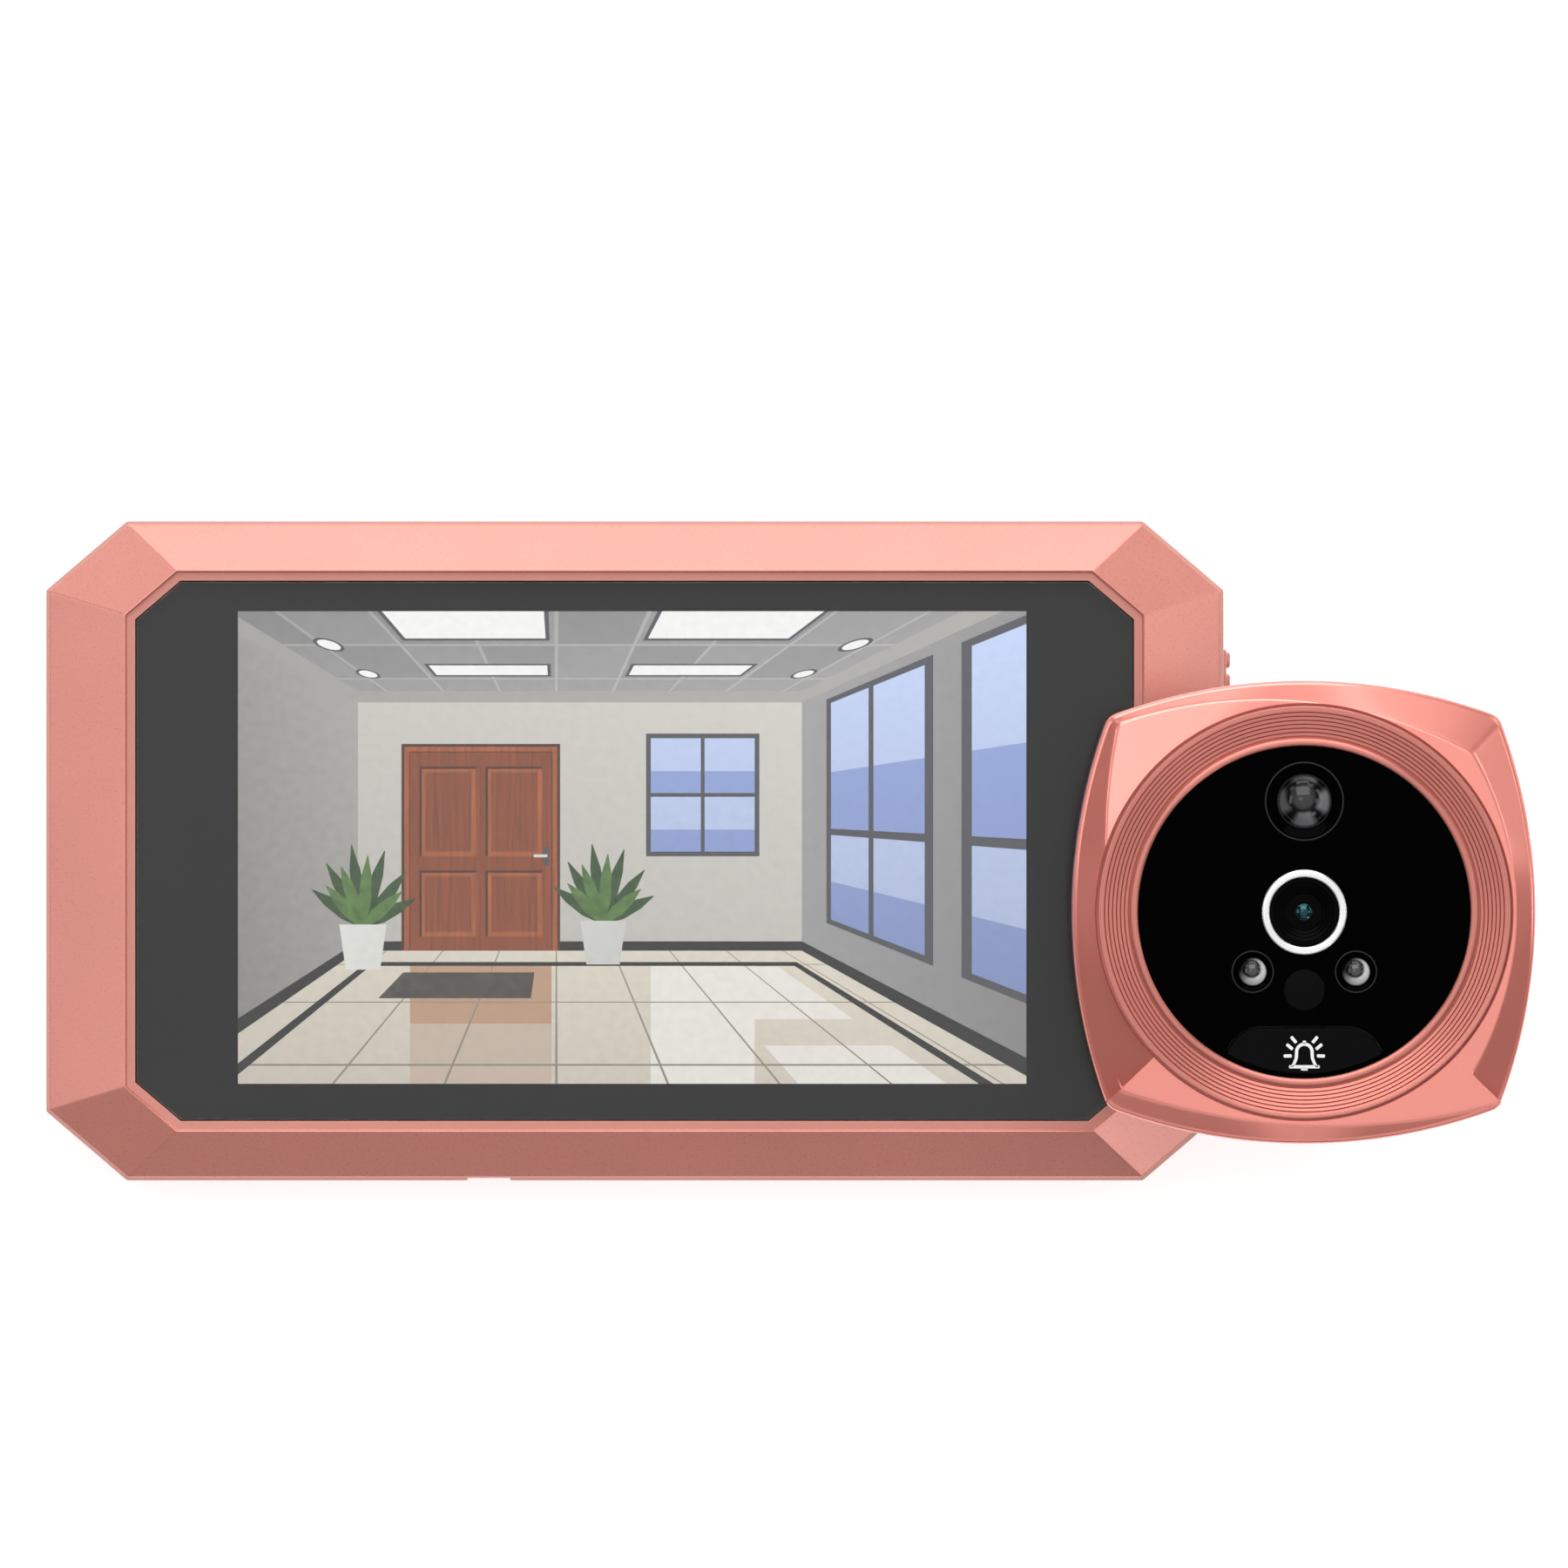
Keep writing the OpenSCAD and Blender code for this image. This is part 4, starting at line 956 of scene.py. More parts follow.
# %% Trim ring
disc_low, disc_high = box_mm("face_disc")
DISC_GAP = 0.1
RING_IN = (disc_high.x - disc_low.x) / 2 + DISC_GAP
RING_LEDGE_IN = RING_IN - 0.75
RING_CHAMFER = 0.12
BAND_OUT = RING_R - 0.35
BAND_DROP = 0.75
BEAD_W = 0.93
BEAD_STEPS = 8
BEAD_LIFT, BEAD_RISE = 0.05, 0.25
BAND_IN = RING_IN + BEAD_W + 0.12
GROOVES = 7
GROOVE_DEPTH = 0.26
groove_shape = ((0.0, 0.0), (0.68, 0.0), (0.72, 0.9), (0.79, 1.0), (0.86, 0.9))


def trim_ring_section():
    top = ring_high.z
    fall = BAND_DROP / (BAND_OUT - BAND_IN)
    pitch = (BAND_OUT - BAND_IN) / GROOVES
    section = [(RING_LEDGE_IN, ring_low.z), (RING_R, ring_low.z)]
    section += [(RING_R, top - RING_CHAMFER), (RING_R - RING_CHAMFER, top)]
    for groove in range(GROOVES):
        radius = BAND_OUT - groove * pitch
        height = top - groove * pitch * fall
        for share, depth in groove_shape:
            section.append((radius - pitch * share, height - pitch * share * fall - GROOVE_DEPTH * depth))
    floor_z = top - BAND_DROP
    section += [(BAND_IN, floor_z - GROOVE_DEPTH), (RING_IN + BEAD_W, floor_z - GROOVE_DEPTH)]
    for turn in range(BEAD_STEPS + 1):
        angle = math.pi * turn / BEAD_STEPS
        radius = RING_IN + BEAD_W / 2 + BEAD_W / 2 * math.cos(angle)
        section.append((radius, floor_z + BEAD_LIFT + BEAD_RISE * math.sin(angle)))
    return section + [(RING_IN, disc_low.z), (RING_LEDGE_IN, disc_low.z)]


bm = spun(trim_ring_section(), [HEAD_AXIS], steps=256)
second_finish(bm, lambda middle: off_axis(middle, HEAD_AXIS) < RING_IN - DISC_GAP)
finishes = [ring_paint, plain["face_black"]]
finish_piece(bm, "turned_trim_ring", finishes, "camera_head", "head_paint", "trim_ring")

# %% [markdown]
# ## Camera
# A bright ring frames the camera. Inside it the black lens barrel goes down in steps, which keep stray
# light out, to a small domed lens. Each of them is a section and a spin. The dome is part of a ball:
# its base and its height give the ball's radius, and the section follows the ball.

# %% Camera ring and lens
cam_low, cam_high = box_mm("camera_ring")
barrel_low, barrel_high = box_mm("lens_barrel")
lens_low, lens_high = box_mm("lens_glass")
CAM_RING_R = (cam_high.x - cam_low.x) / 2
CAM_RING_W = 0.92
CAM_RING_ROUND = 0.22
LENS_R = (lens_high.x - lens_low.x) / 2
LENS_GAP = 0.05
LENS_EDGE_Z = lens_high.z - 0.5
DOME_R, DOME_H = 0.95, 0.3
DOME_EDGE = 0.1
BARREL_ROUND = 0.05
STAIRS_DEEP = 1.05
barrel_stairs = ((3.5, 0.0), (3.42, 0.2), (3.0, 0.3), (2.95, 0.55), (2.6, 0.65), (2.55, 0.95))


def dome_points(base_r, height, low_z, steps=10):
    ball = (base_r**2 + height**2) / (2 * height)
    widest = math.asin(base_r / ball)
    turns = [widest * (1 - i / steps) for i in range(steps + 1)]
    return [(ball * math.sin(t), low_z + height - ball + ball * math.cos(t)) for t in turns]


section = square_section(CAM_RING_R - CAM_RING_W, CAM_RING_R, cam_low.z, cam_high.z)
bm = spun(soften(section, CAM_RING_ROUND), [HEAD_AXIS])
finish_piece(bm, "bright_camera_ring", [bright_ring], "camera_head", "bright_ring", "camera_ring")

outer = (barrel_high.x - barrel_low.x) / 2
section = [(0, barrel_low.z), (outer, barrel_low.z), (outer, barrel_high.z)]
section += [(radius, barrel_high.z - depth) for radius, depth in barrel_stairs]
well_r = LENS_R + LENS_GAP
section += [(well_r, barrel_high.z - STAIRS_DEEP), (well_r, lens_low.z), (0, lens_low.z)]
bm = spun(soften(section, BARREL_ROUND, closed=False), [HEAD_AXIS], closed=False)
black = plain["barrel_black"]
finish_piece(bm, "stepped_lens_barrel", [black], "camera_head", "chip_black", "lens_barrel")

section = [(0, lens_low.z), (LENS_R, lens_low.z), (LENS_R, LENS_EDGE_Z), (DOME_R + DOME_EDGE, LENS_EDGE_Z)]
bm = spun(section + dome_points(DOME_R, DOME_H, LENS_EDGE_Z), [HEAD_AXIS], closed=False)
second_finish(bm, lambda middle: middle.z <= LENS_EDGE_Z)
finish_piece(bm, "coated_lens", [lens_coated, black], "camera_head", "lens_glass", "lens_glass")

# %% [markdown]
# ## Motion lens
# The lens of the motion sensor is a dark dome that gathers heat rays from many directions, so its
# underside has segments, which the lens pattern draws; their pale tone, brighter on the right, is
# painted reflection. It sits in a cup whose thin grey rim shows as a fine circle. The cup is black
# inside.

# %% Motion lens and its rim
pir_low, pir_high = box_mm("pir_lens")
cup_low, cup_high = box_mm("pir_holder")
PIR_AXIS = middle_of(pir_low, pir_high)
PIR_R = (pir_high.x - pir_low.x) / 2
PIR_RIM_R = (cup_high.x - cup_low.x) / 2
PIR_DOME_H = 1.6
PIR_EDGE = 0.08
PIR_RIM_W = 0.2
PIR_DISH_DEEP, PIR_DISH_FALL = 0.25, 0.2
CUP_GAP = 0.06
CUP_WALL = 0.15
CUP_ROUND = 0.05
rim_finishes = [plain["rim_grey"], plain["face_black"]]
# Painted reflection: pale grey segments on the dark dome, brighter on the right.
motion_dark = grouped_material(
    "motion_dark",
    lens_segments_and_reflections,
    {"Colour": linear(14, 14, 15), "Light": linear(124, 124, 127), "Disc": 0.16, "Turn": math.pi / 2},
    {"Specular IOR Level": 0.3},
    axis=PIR_AXIS,
    spread=1 / (PIR_R * MM),
)

base_z = pir_high.z - PIR_DOME_H
section = [(0, pir_low.z), (PIR_R, pir_low.z), (PIR_R, base_z)]
section += dome_points(PIR_R - PIR_EDGE, PIR_DOME_H, base_z, steps=14)
bm = spun(section, [PIR_AXIS], steps=96, closed=False)
finish_piece(bm, "motion_dome", [motion_dark], "camera_head", "motion_lens", "pir_lens")


def cup_section(lens_r, rim_r, rim_w, wall, low_z, high_z, dish_z, dish_fall):
    """Section of a cup with a thin rim, whose dish falls from the rim to the lens in it."""
    inner = lens_r + CUP_GAP
    section = [(inner, low_z), (rim_r, low_z), (rim_r, high_z), (rim_r - rim_w, high_z)]
    section += [(rim_r - rim_w - wall, dish_z), (inner, dish_z - dish_fall)]
    return soften(section, CUP_ROUND)


dish_z = disc_high.z - PIR_DISH_DEEP
section = cup_section(
    PIR_R, PIR_RIM_R, PIR_RIM_W, CUP_WALL, cup_low.z, cup_high.z, dish_z, PIR_DISH_FALL
)
bm = spun(section, [PIR_AXIS], steps=96)
second_finish(bm, lambda middle: off_axis(middle, PIR_AXIS) < PIR_RIM_R - PIR_RIM_W)
finish_piece(bm, "motion_rim", rim_finishes, "camera_head", "button_black", "pir_holder")

# %% [markdown]
# ## Infrared lamps and light window
# Two lamps light the visitor at night. Each is a clear dome with a bright cup round its chip, in a
# ring like that of the motion lens; the dome's finish carries the cup as a painted reflection, brightest
# towards the lower right. The two stand mirrored beside the camera's axis, so both come from one
# section that is spun round two axes. The pattern needs its own centre on each lamp, so there are two
# lamp finishes. Between the lamps a smoked window covers the light sensor.

# %% Lamps, their rings and the light window
lamp_low, lamp_high = box_mm("ir_leds")
rings_low, rings_high = box_mm("led_rings")
window_low, window_high = box_mm("light_window")
LAMP_RING_R = (rings_high.y - rings_low.y) / 2
LAMP_R = (lamp_high.y - lamp_low.y) / 2
LAMP_SIDE = (rings_high.x - rings_low.x) / 2 - LAMP_RING_R
LAMP_Y = (rings_low.y + rings_high.y) / 2
LAMP_DOME_H = 1.1
LAMP_RIM_W = 0.17
LAMP_WALL = 0.13
LAMP_DISH_DEEP, LAMP_DISH_FALL = 0.2, 0.1
WINDOW_ROUND = 0.06
lamp_axes = [(HEAD_X - LAMP_SIDE, LAMP_Y), (HEAD_X + LAMP_SIDE, LAMP_Y)]
# Painted reflection: the bright cup round the dark chip, brightest towards the lower right.
lamp_look = {
    "Colour": linear(12, 12, 13),
    "Light": linear(226, 226, 230),
    "Disc": 0.06,
    "Segments": 1.0,
    "Turn": math.radians(125),
}
lamp_finishes = [
    grouped_material(name, lens_segments_and_reflections, lamp_look, axis=axis, spread=1 / (LAMP_R * MM))
    for name, axis in zip(("lamp_dark_left", "lamp_dark_right"), lamp_axes)
]

section = [(0, lamp_low.z), (LAMP_R, lamp_low.z)]
section += dome_points(LAMP_R, LAMP_DOME_H, lamp_high.z - LAMP_DOME_H)
bm = spun(section, lamp_axes, steps=64, closed=False)
second_finish(bm, lambda middle: middle.x > HEAD_X)
finish_piece(bm, "lamp_domes", lamp_finishes, "camera_head", "lamp_lens", "ir_leds")

dish_z = disc_high.z - LAMP_DISH_DEEP
section = cup_section(
    LAMP_R, LAMP_RING_R, LAMP_RIM_W, LAMP_WALL, rings_low.z, rings_high.z, dish_z, LAMP_DISH_FALL
)
bm = spun(section, lamp_axes, steps=64)
inside_r = LAMP_RING_R - LAMP_RIM_W
second_finish(bm, lambda middle: min(off_axis(middle, axis) for axis in lamp_axes) < inside_r)
finish_piece(bm, "lamp_rings", rim_finishes, "camera_head", "button_black", "led_rings")

window_r = (window_high.x - window_low.x) / 2
section = soften(square_section(0, window_r, window_low.z, window_high.z), WINDOW_ROUND, closed=False)
bm = spun(section, [middle_of(window_low, window_high)], steps=64, closed=False)
smoked = plain["button_black"]
finish_piece(bm, "light_window_disc", [smoked], "camera_head", "face_black", "light_window")

# %% [markdown]
# ## The bell button
# The button is a segment of the disc with rounded shoulders, and presses in on a stem. Its outline is
# worked out from circles: the shoulder's circle meets the edge's circle where both radii agree. The
# stem is a hair shorter than the CAD one, so that a full press doesn't run into the switch.

# %% Bell button
bell_low, bell_high = box_mm("bell_button")
BELL_HALF_W = 9.3
BELL_SHOULDER_R = 4.4
BELL_EDGE_R = HEAD_Y - bell_low.y
BELL_TOP = 13.6
BELL_THICK = 1.6
BELL_BEVEL = 0.16
STEM_R = 1.2
STEM_DOWN = 16.0
STEM_GAP = 0.04


def arc(centre, radius, start_deg, end_deg, steps):
    angles = [math.radians(start_deg + (end_deg - start_deg) * i / steps) for i in range(steps + 1)]
    return [(centre[0] + radius * math.cos(a), centre[1] + radius * math.sin(a)) for a in angles]


def bell_outline():
    shoulder = (BELL_HALF_W - BELL_SHOULDER_R, -BELL_TOP - BELL_SHOULDER_R)
    away = math.hypot(*shoulder)
    along = (away**2 + BELL_EDGE_R**2 - BELL_SHOULDER_R**2) / (2 * away)
    turn = math.atan2(shoulder[1], shoulder[0]) + math.acos(along / BELL_EDGE_R)
    meet = (BELL_EDGE_R * math.cos(turn), BELL_EDGE_R * math.sin(turn))
    edge_angle = math.degrees(turn)
    start = math.degrees(math.atan2(meet[1] - shoulder[1], meet[0] - shoulder[0]))
    right = arc(shoulder, BELL_SHOULDER_R, start, 90, 12)
    left = [(-x, y) for x, y in reversed(right)]
    low = arc((0, 0), BELL_EDGE_R, 180 - edge_angle, 360 + edge_angle, 28)[1:-1]
    return [(HEAD_X + x, HEAD_Y + y) for x, y in right + left + low]


def build_bell_button():
    bm = bmesh.new()
    base_z = bell_high.z - BELL_THICK
    top = plate_from_outline(bm, bell_outline(), base_z, bell_high.z)
    rim = {e for v in top for e in v.link_edges if all(w in top for w in e.verts)}
    bevel_edges(bm, list(rim), BELL_BEVEL)
    stem_low = bell_low.z + STEM_GAP
    stem = bmesh.ops.create_cone(
        bm, cap_ends=True, segments=32, radius1=STEM_R, radius2=STEM_R, depth=base_z - stem_low
    )["verts"]
    bmesh.ops.translate(bm, vec=(HEAD_X, HEAD_Y - STEM_DOWN, (base_z + stem_low) / 2), verts=stem)
    black = plain["button_black"]
    finish_piece(bm, "bell_push", [black], "bell_button", "button_black", "bell_button")


build_bell_button()

# %% [markdown]
# The bell sign is printed in white on the button. A picture of it would blur close up, so it is made
# of thin plates: a bell between an outer and an inner loop, and bars with rounded ends for the foot,
# the clapper, the crown and six rays.

# %% Bell sign
SIGN_X, SIGN_Y = HEAD_X, HEAD_Y - 16.7
SIGN_T = 0.02
SIGN_LINE = 0.38
SIGN_ROUND = 0.3
CROWN_Y, CROWN_R = 0.3, 1.1
bell_flare = ((1.7, -1.5), (1.38, -1.05), (1.14, -0.45), (1.1, 0.2))
sign_bars = (((0, -1.45), (3.6, SIGN_LINE)), ((0, -1.74), (0.8, 0.3)), ((0, 1.42), (0.4, 0.4)))
sign_rays = ((1.95, -0.18, -2), (1.72, 0.9, 40), (1.25, 1.72, 50))
RAY_LENGTH = 0.95


def sign_loop(bm, grow, z):
    right = [(x + grow, y) for x, y in bell_flare] + arc((0, CROWN_Y), CROWN_R + grow, 6, 82, 7)
    whole = right + [(-x, y) for x, y in reversed(right)]
    return edge_loop(bm, [(SIGN_X + x, SIGN_Y + y) for x, y in whole], z)


def sign_bar(bm, centre, size, turn_deg, top):
    half = Vector((size[0] / 2, size[1] / 2, SIGN_T / 2))
    verts = block(bm, -half, half)
    upright = [e for e in edges_of(verts) if e.verts[0].co.z * e.verts[1].co.z < 0]
    shaped = bevel_edges(bm, upright, min(size) * SIGN_ROUND)
    whole = set(shaped) | {v for v in verts if v.is_valid}
    place = Matrix.Translation((SIGN_X + centre[0], SIGN_Y + centre[1], top - SIGN_T / 2))
    turn = Matrix.Rotation(math.radians(turn_deg), 4, "Z")
    bmesh.ops.transform(bm, matrix=place @ turn, verts=list(whole))


def build_bell_sign():
    bm = bmesh.new()
    low, top = bell_high.z, bell_high.z + SIGN_T
    corners = ((0, top), (-SIGN_LINE, top), (-SIGN_LINE, low), (0, low))
    loops = [sign_loop(bm, grow, z) for grow, z in corners]
    for first, second in zip(loops, loops[1:] + loops[:1]):
        bmesh.ops.bridge_loops(bm, edges=first + second)
    for centre, size in sign_bars:
        sign_bar(bm, centre, size, 0, top)
    for side in (-1, 1):
        for x, y, angle in sign_rays:
            sign_bar(bm, (side * x, y), (RAY_LENGTH, SIGN_LINE), side * angle, top)
    finish_piece(bm, "bell_sign", [plain["sign_white"]], "bell_button", "button_black")


build_bell_sign()

# %% [markdown]
# ## Barrel, washer and nut
# The hollow barrel goes through the door, so it has a thread along most of its length and a plain
# pilot at its end. The core is a spun section, and the thread is a ridge with a nearly pointed section
# that a screw spin lays round it.

# %% Barrel
tube_low, tube_high = box_mm("threaded_barrel")
BARREL_R = 6.0
PILOT_R = 5.6
BORE_R = 4.6
PILOT_LEN = 13.0
PILOT_CHAMFER_W, PILOT_CHAMFER_H = 0.3, 0.5
FLANGE_Z = 33.0
FLANGE_R = (tube_high.x - tube_low.x) / 2
NECK_LOW, NECK_TOP = FLANGE_Z - 0.8, FLANGE_Z - 0.4
TUBE_ROUND = 0.12
THREAD_PITCH = 1.5
THREAD_DEPTH = 0.55
THREAD_STEPS = 48
THREAD_LEAD = 0.1
CORE_R = BARREL_R - THREAD_DEPTH
RIDGE_LOW_R, RIDGE_TOP_R = CORE_R - 0.1, BARREL_R - 0.02
RIDGE_FOOT, RIDGE_TIP = THREAD_PITCH * 0.48, THREAD_PITCH * 0.08


def tube_section():
    return [
        (BORE_R, tube_low.z),
        (PILOT_R - PILOT_CHAMFER_W, tube_low.z),
        (PILOT_R, tube_low.z + PILOT_CHAMFER_H),
        (PILOT_R, PILOT_LEN),
        (CORE_R, PILOT_LEN + PILOT_CHAMFER_W),
        (CORE_R, NECK_LOW),
        (BARREL_R, NECK_TOP),
        (BARREL_R, FLANGE_Z),
        (FLANGE_R, FLANGE_Z),
        (FLANGE_R, tube_high.z),
        (BORE_R, tube_high.z),
    ]


def wind_thread(bm):
    turns = int((NECK_LOW - PILOT_LEN - THREAD_PITCH) / THREAD_PITCH)
    z = PILOT_LEN + THREAD_PITCH / 2 + THREAD_LEAD
    ridge = [
        (RIDGE_LOW_R, z - RIDGE_FOOT),
        (RIDGE_TOP_R, z - RIDGE_TIP),
        (RIDGE_TOP_R, z + RIDGE_TIP),
        (RIDGE_LOW_R, z + RIDGE_FOOT),
    ]
    first = bm.faces.new([bm.verts.new((HEAD_X + radius, HEAD_Y, height)) for radius, height in ridge])
    bmesh.ops.spin(
        bm,
        geom=[first],
        cent=(HEAD_X, HEAD_Y, 0),
        axis=(0, 0, 1),
        dvec=(0, 0, THREAD_PITCH / THREAD_STEPS),
        angle=math.tau * turns,
        steps=THREAD_STEPS * turns,
        use_merge=False,
        use_normal_flip=False,
        use_duplicate=True,
    )
    print("thread turns", turns)


bm = spun(soften(tube_section(), TUBE_ROUND), [HEAD_AXIS], steps=96)
wind_thread(bm)
finish_piece(bm, "barrel_with_thread", [turned_steel], "camera_head", "steel", "threaded_barrel")

# %% [markdown]
# A washer and a nut clamp the door between them and the head. The washer is a flat spun ring. The nut
# is spun as well, and its points are then drawn in to the six flats, which leaves the curved chamfers
# that a real nut has where its flats meet the turned ends.

# %% Washer and nut
washer_low, washer_high = box_mm("clamp_washer")
nut_low, nut_high = box_mm("clamp_nut")
WASHER_R = (washer_high.x - washer_low.x) / 2
WASHER_HOLE_R = 6.3
WASHER_ROUND = 0.15
NUT_HALF_FLATS = (nut_high.y - nut_low.y) / 2
NUT_CORNER = (nut_high.x - nut_low.x) / 2
NUT_HOLE_R = 6.06
NUT_CHAMFER = 0.8
NUT_END_W = 1.3
HOLE_CHAMFER = 0.4
SIXTH = math.tau / 6


def nut_section():
    low, high = nut_low.z, nut_high.z
    lower = [
        (NUT_HOLE_R, low + HOLE_CHAMFER),
        (NUT_HOLE_R + HOLE_CHAMFER, low),
        (NUT_CORNER - NUT_END_W, low),
        (NUT_CORNER - NUT_END_W / 2, low + NUT_CHAMFER / 2),
        (NUT_CORNER, low + NUT_CHAMFER),
    ]
    return lower + [(radius, low + high - z) for radius, z in reversed(lower)]


def draw_in_flats(bm):
    for vert in bm.verts:
        x, y = vert.co.x - HEAD_X, vert.co.y - HEAD_Y
        radius = math.hypot(x, y)
        from_flat = (math.atan2(y, x) % SIXTH) - SIXTH / 2
        drawn_in = min(radius, NUT_HALF_FLATS / math.cos(from_flat)) / radius
        vert.co.x, vert.co.y = HEAD_X + x * drawn_in, HEAD_Y + y * drawn_in


section = square_section(WASHER_HOLE_R, WASHER_R, washer_low.z, washer_high.z)
bm = spun(soften(section, WASHER_ROUND), [HEAD_AXIS])
finish_piece(bm, "clamp_washer_disc", [turned_steel], "clamp_washer", "steel", "clamp_washer")

bm = spun(nut_section(), [HEAD_AXIS], steps=144)
draw_in_flats(bm)
finish_piece(bm, "clamp_nut_hex", [turned_steel], "clamp_nut", "steel", "clamp_nut")

# %% [markdown]
# ## The picture on the screen
# The display shows a bright hall as a camera by a door would see it: a far wall with a wooden door,
# windows, plants, ceiling lights and a polished floor. A picture made of pixels would blur, so each
# surface is a thin plate that glows in its own colour. One node group gives every colour a slow fall
# of light and a fine grain, as a real camera picture has.

# %% Colours of the picture
PICTURE_W, PICTURE_H = 93.6, 56.1
PICTURE_GLOW = 0.92
FINE = (900, 900, 900)
UPRIGHT_GRAIN = (2600, 110, 900)
GLOW_INPUTS = {"Colour": (0.8, 0.8, 0.8, 1), "Across": 0.0, "Up": 0.0, "Grain": 0.04, "Stretch": FINE}
DARK_CELL = {
    "Base Color": (0.01, 0.01, 0.01, 1),
    "Roughness": 0.6,
    "Specular IOR Level": 0.1,
    "Emission Strength": PICTURE_GLOW,
}


def build_glow_group():
    tree, entry, leave = new_group("picture_light", GLOW_INPUTS, ("Colour",))
    place = object_place(tree)
    parts = add_node(tree, "SeparateXYZ", place).outputs
    grain = noise(tree, vector_calc(tree, "MULTIPLY", place, entry["Stretch"]), 1.0)
    half_w, half_h = PICTURE_W / 2 * MM, PICTURE_H / 2 * MM
    swings = {
        "Across": value_range(tree, parts["X"], -1.0, 1.0, -half_w, half_w),
        "Up": value_range(tree, parts["Y"], -1.0, 1.0, -half_h, half_h),
        "Grain": value_range(tree, grain, -1.0, 1.0, *GRAIN_SPAN),
    }
    level = 1.0
    for share, swing in swings.items():
        level = calc(tree, "MULTIPLY_ADD", swing, entry[share], level)
    tree.links.new(tinted(tree, entry["Colour"], level), leave["Colour"])
    return tree


picture_light = build_glow_group()


def picture_colour(name, colour, across=0.0, up=0.0, grain=0.04, stretch=FINE):
    material, tree, shader = new_material("picture_" + name)
    set_inputs(shader, DARK_CELL)
    light = add_node(tree, "Group", node_tree=picture_light)
    set_inputs(light, {"Colour": linear(*colour), "Across": across, "Up": up})
    set_inputs(light, {"Grain": grain, "Stretch": stretch})
    tree.links.new(light.outputs["Colour"], shader.inputs["Emission Color"])
    return material


picture_shades = {
    "wall": ((204, 200, 193), 0.1, 0.2),
    "left_wall": ((204, 200, 194), 0.5, 0.1),
    "right_wall": ((176, 174, 175), -0.35, 0.1),
    "corner_shade": ((176, 173, 168), 0.1, 0.0),
    "ceiling": ((186, 184, 184), 0.1, -0.32),
    "ceiling_dark": ((176, 174, 175), 0.1, -0.32),
    "ceiling_line": ((208, 207, 206), 0.1, -0.3),
    "lamp": ((255, 255, 252), 0.0, 0.0),
    "floor": ((236, 227, 211), 0.05, 0.25),
    "tile_line": ((164, 153, 138), 0.05, 0.25),
    "dark_line": ((24, 23, 23), 0.0, 0.0),
    "sky": ((142, 160, 212), 0.0, 0.3),
    "sky_light": ((186, 200, 234), 0.0, 0.3),
    "window_bar": ((76, 77, 84), 0.1, 0.1),
    "pot": ((214, 213, 208), -0.3, 0.2),
    "shine": ((244, 240, 231), 0.0, 0.1),
    "mirror_near": ((208, 188, 171), 0.0, 0.1),
    "mirror_far": ((198, 158, 128), 0.0, 0.1),
    "door": ((138, 66, 28), 0.0, 0.0, 0.3, UPRIGHT_GRAIN),
    "door_light": ((168, 88, 42), 0.0, 0.0, 0.28, UPRIGHT_GRAIN),
    "door_dark": ((70, 32, 14), 0.0, 0.0, 0.2, UPRIGHT_GRAIN),
    "leaf": ((44, 76, 34), 0.0, 0.0, 0.4),
    "leaf_light": ((84, 120, 56), 0.0, 0.0, 0.4),
    "mat": ((74, 66, 62), 0.0, 0.0, 0.4),
}
picture_colours = {name: picture_colour(name, *shade) for name, shade in picture_shades.items()}
print("picture colours", len(picture_colours))

# %% [markdown]
# Points of the hall, in metres from the eye, are projected to the screen by one formula: the further
# away a point is, the nearer it comes to the vanishing point. A plate that reaches past the picture is
# cut at the picture's edges. Plates in front lie a hair higher, in numbered layers.

# %% Plates of the picture
cell_low, cell_high = box_mm("lcd_panel")
PICTURE_X = (cell_low.x + cell_high.x) / 2
PICTURE_Y = 0.4
VANISH_X, VANISH_Y = -9.0, 4.0
EYE_SCALE = 37.0
HALL_LEFT, HALL_RIGHT = -2.1, 2.6
HALL_LOW, HALL_TOP = -1.45, 1.3
HALL_NEAR, HALL_BACK = 0.9, 3.3
PLATE_T = 0.008
picture_names = list(picture_colours)


def seen(x, y, depth):
    return VANISH_X + EYE_SCALE * x / depth, VANISH_Y + EYE_SCALE * y / depth


def clip_to_picture(points):
    """Cut a convex polygon to the edges of the picture."""
    half_w, half_h = PICTURE_W / 2, PICTURE_H / 2
    for axis, limit, sign in ((0, half_w, 1), (0, half_w, -1), (1, half_h, 1), (1, half_h, -1)):
        kept = []
        for i, point in enumerate(points):
            last = points[i - 1]
            inside, was_inside = sign * point[axis] <= limit, sign * last[axis] <= limit
            if inside != was_inside:
                t = (sign * limit - last[axis]) / (point[axis] - last[axis])
                kept.append((last[0] + (point[0] - last[0]) * t, last[1] + (point[1] - last[1]) * t))
            if inside:
                kept.append(point)
        points = kept
    return points


def picture_plate(bm, points, layer, colour):
    points = clip_to_picture(points)
    if len(points) < 3:
        return
    low_z = cell_high.z + layer * PLATE_T
    before = set(bm.faces)
    outline = [(PICTURE_X + x, PICTURE_Y + y) for x, y in points]
    plate_from_outline(bm, outline, low_z, low_z + PLATE_T)
    for face in set(bm.faces) - before:
        face.material_index = picture_names.index(colour)


def hall_patch(bm, corners, layer, colour):
    picture_plate(bm, [seen(*corner) for corner in corners], layer, colour)


def wall_patch(bm, x0, x1, y0, y1, layer, colour):
    z = HALL_BACK
    hall_patch(bm, [(x0, y0, z), (x1, y0, z), (x1, y1, z), (x0, y1, z)], layer, colour)


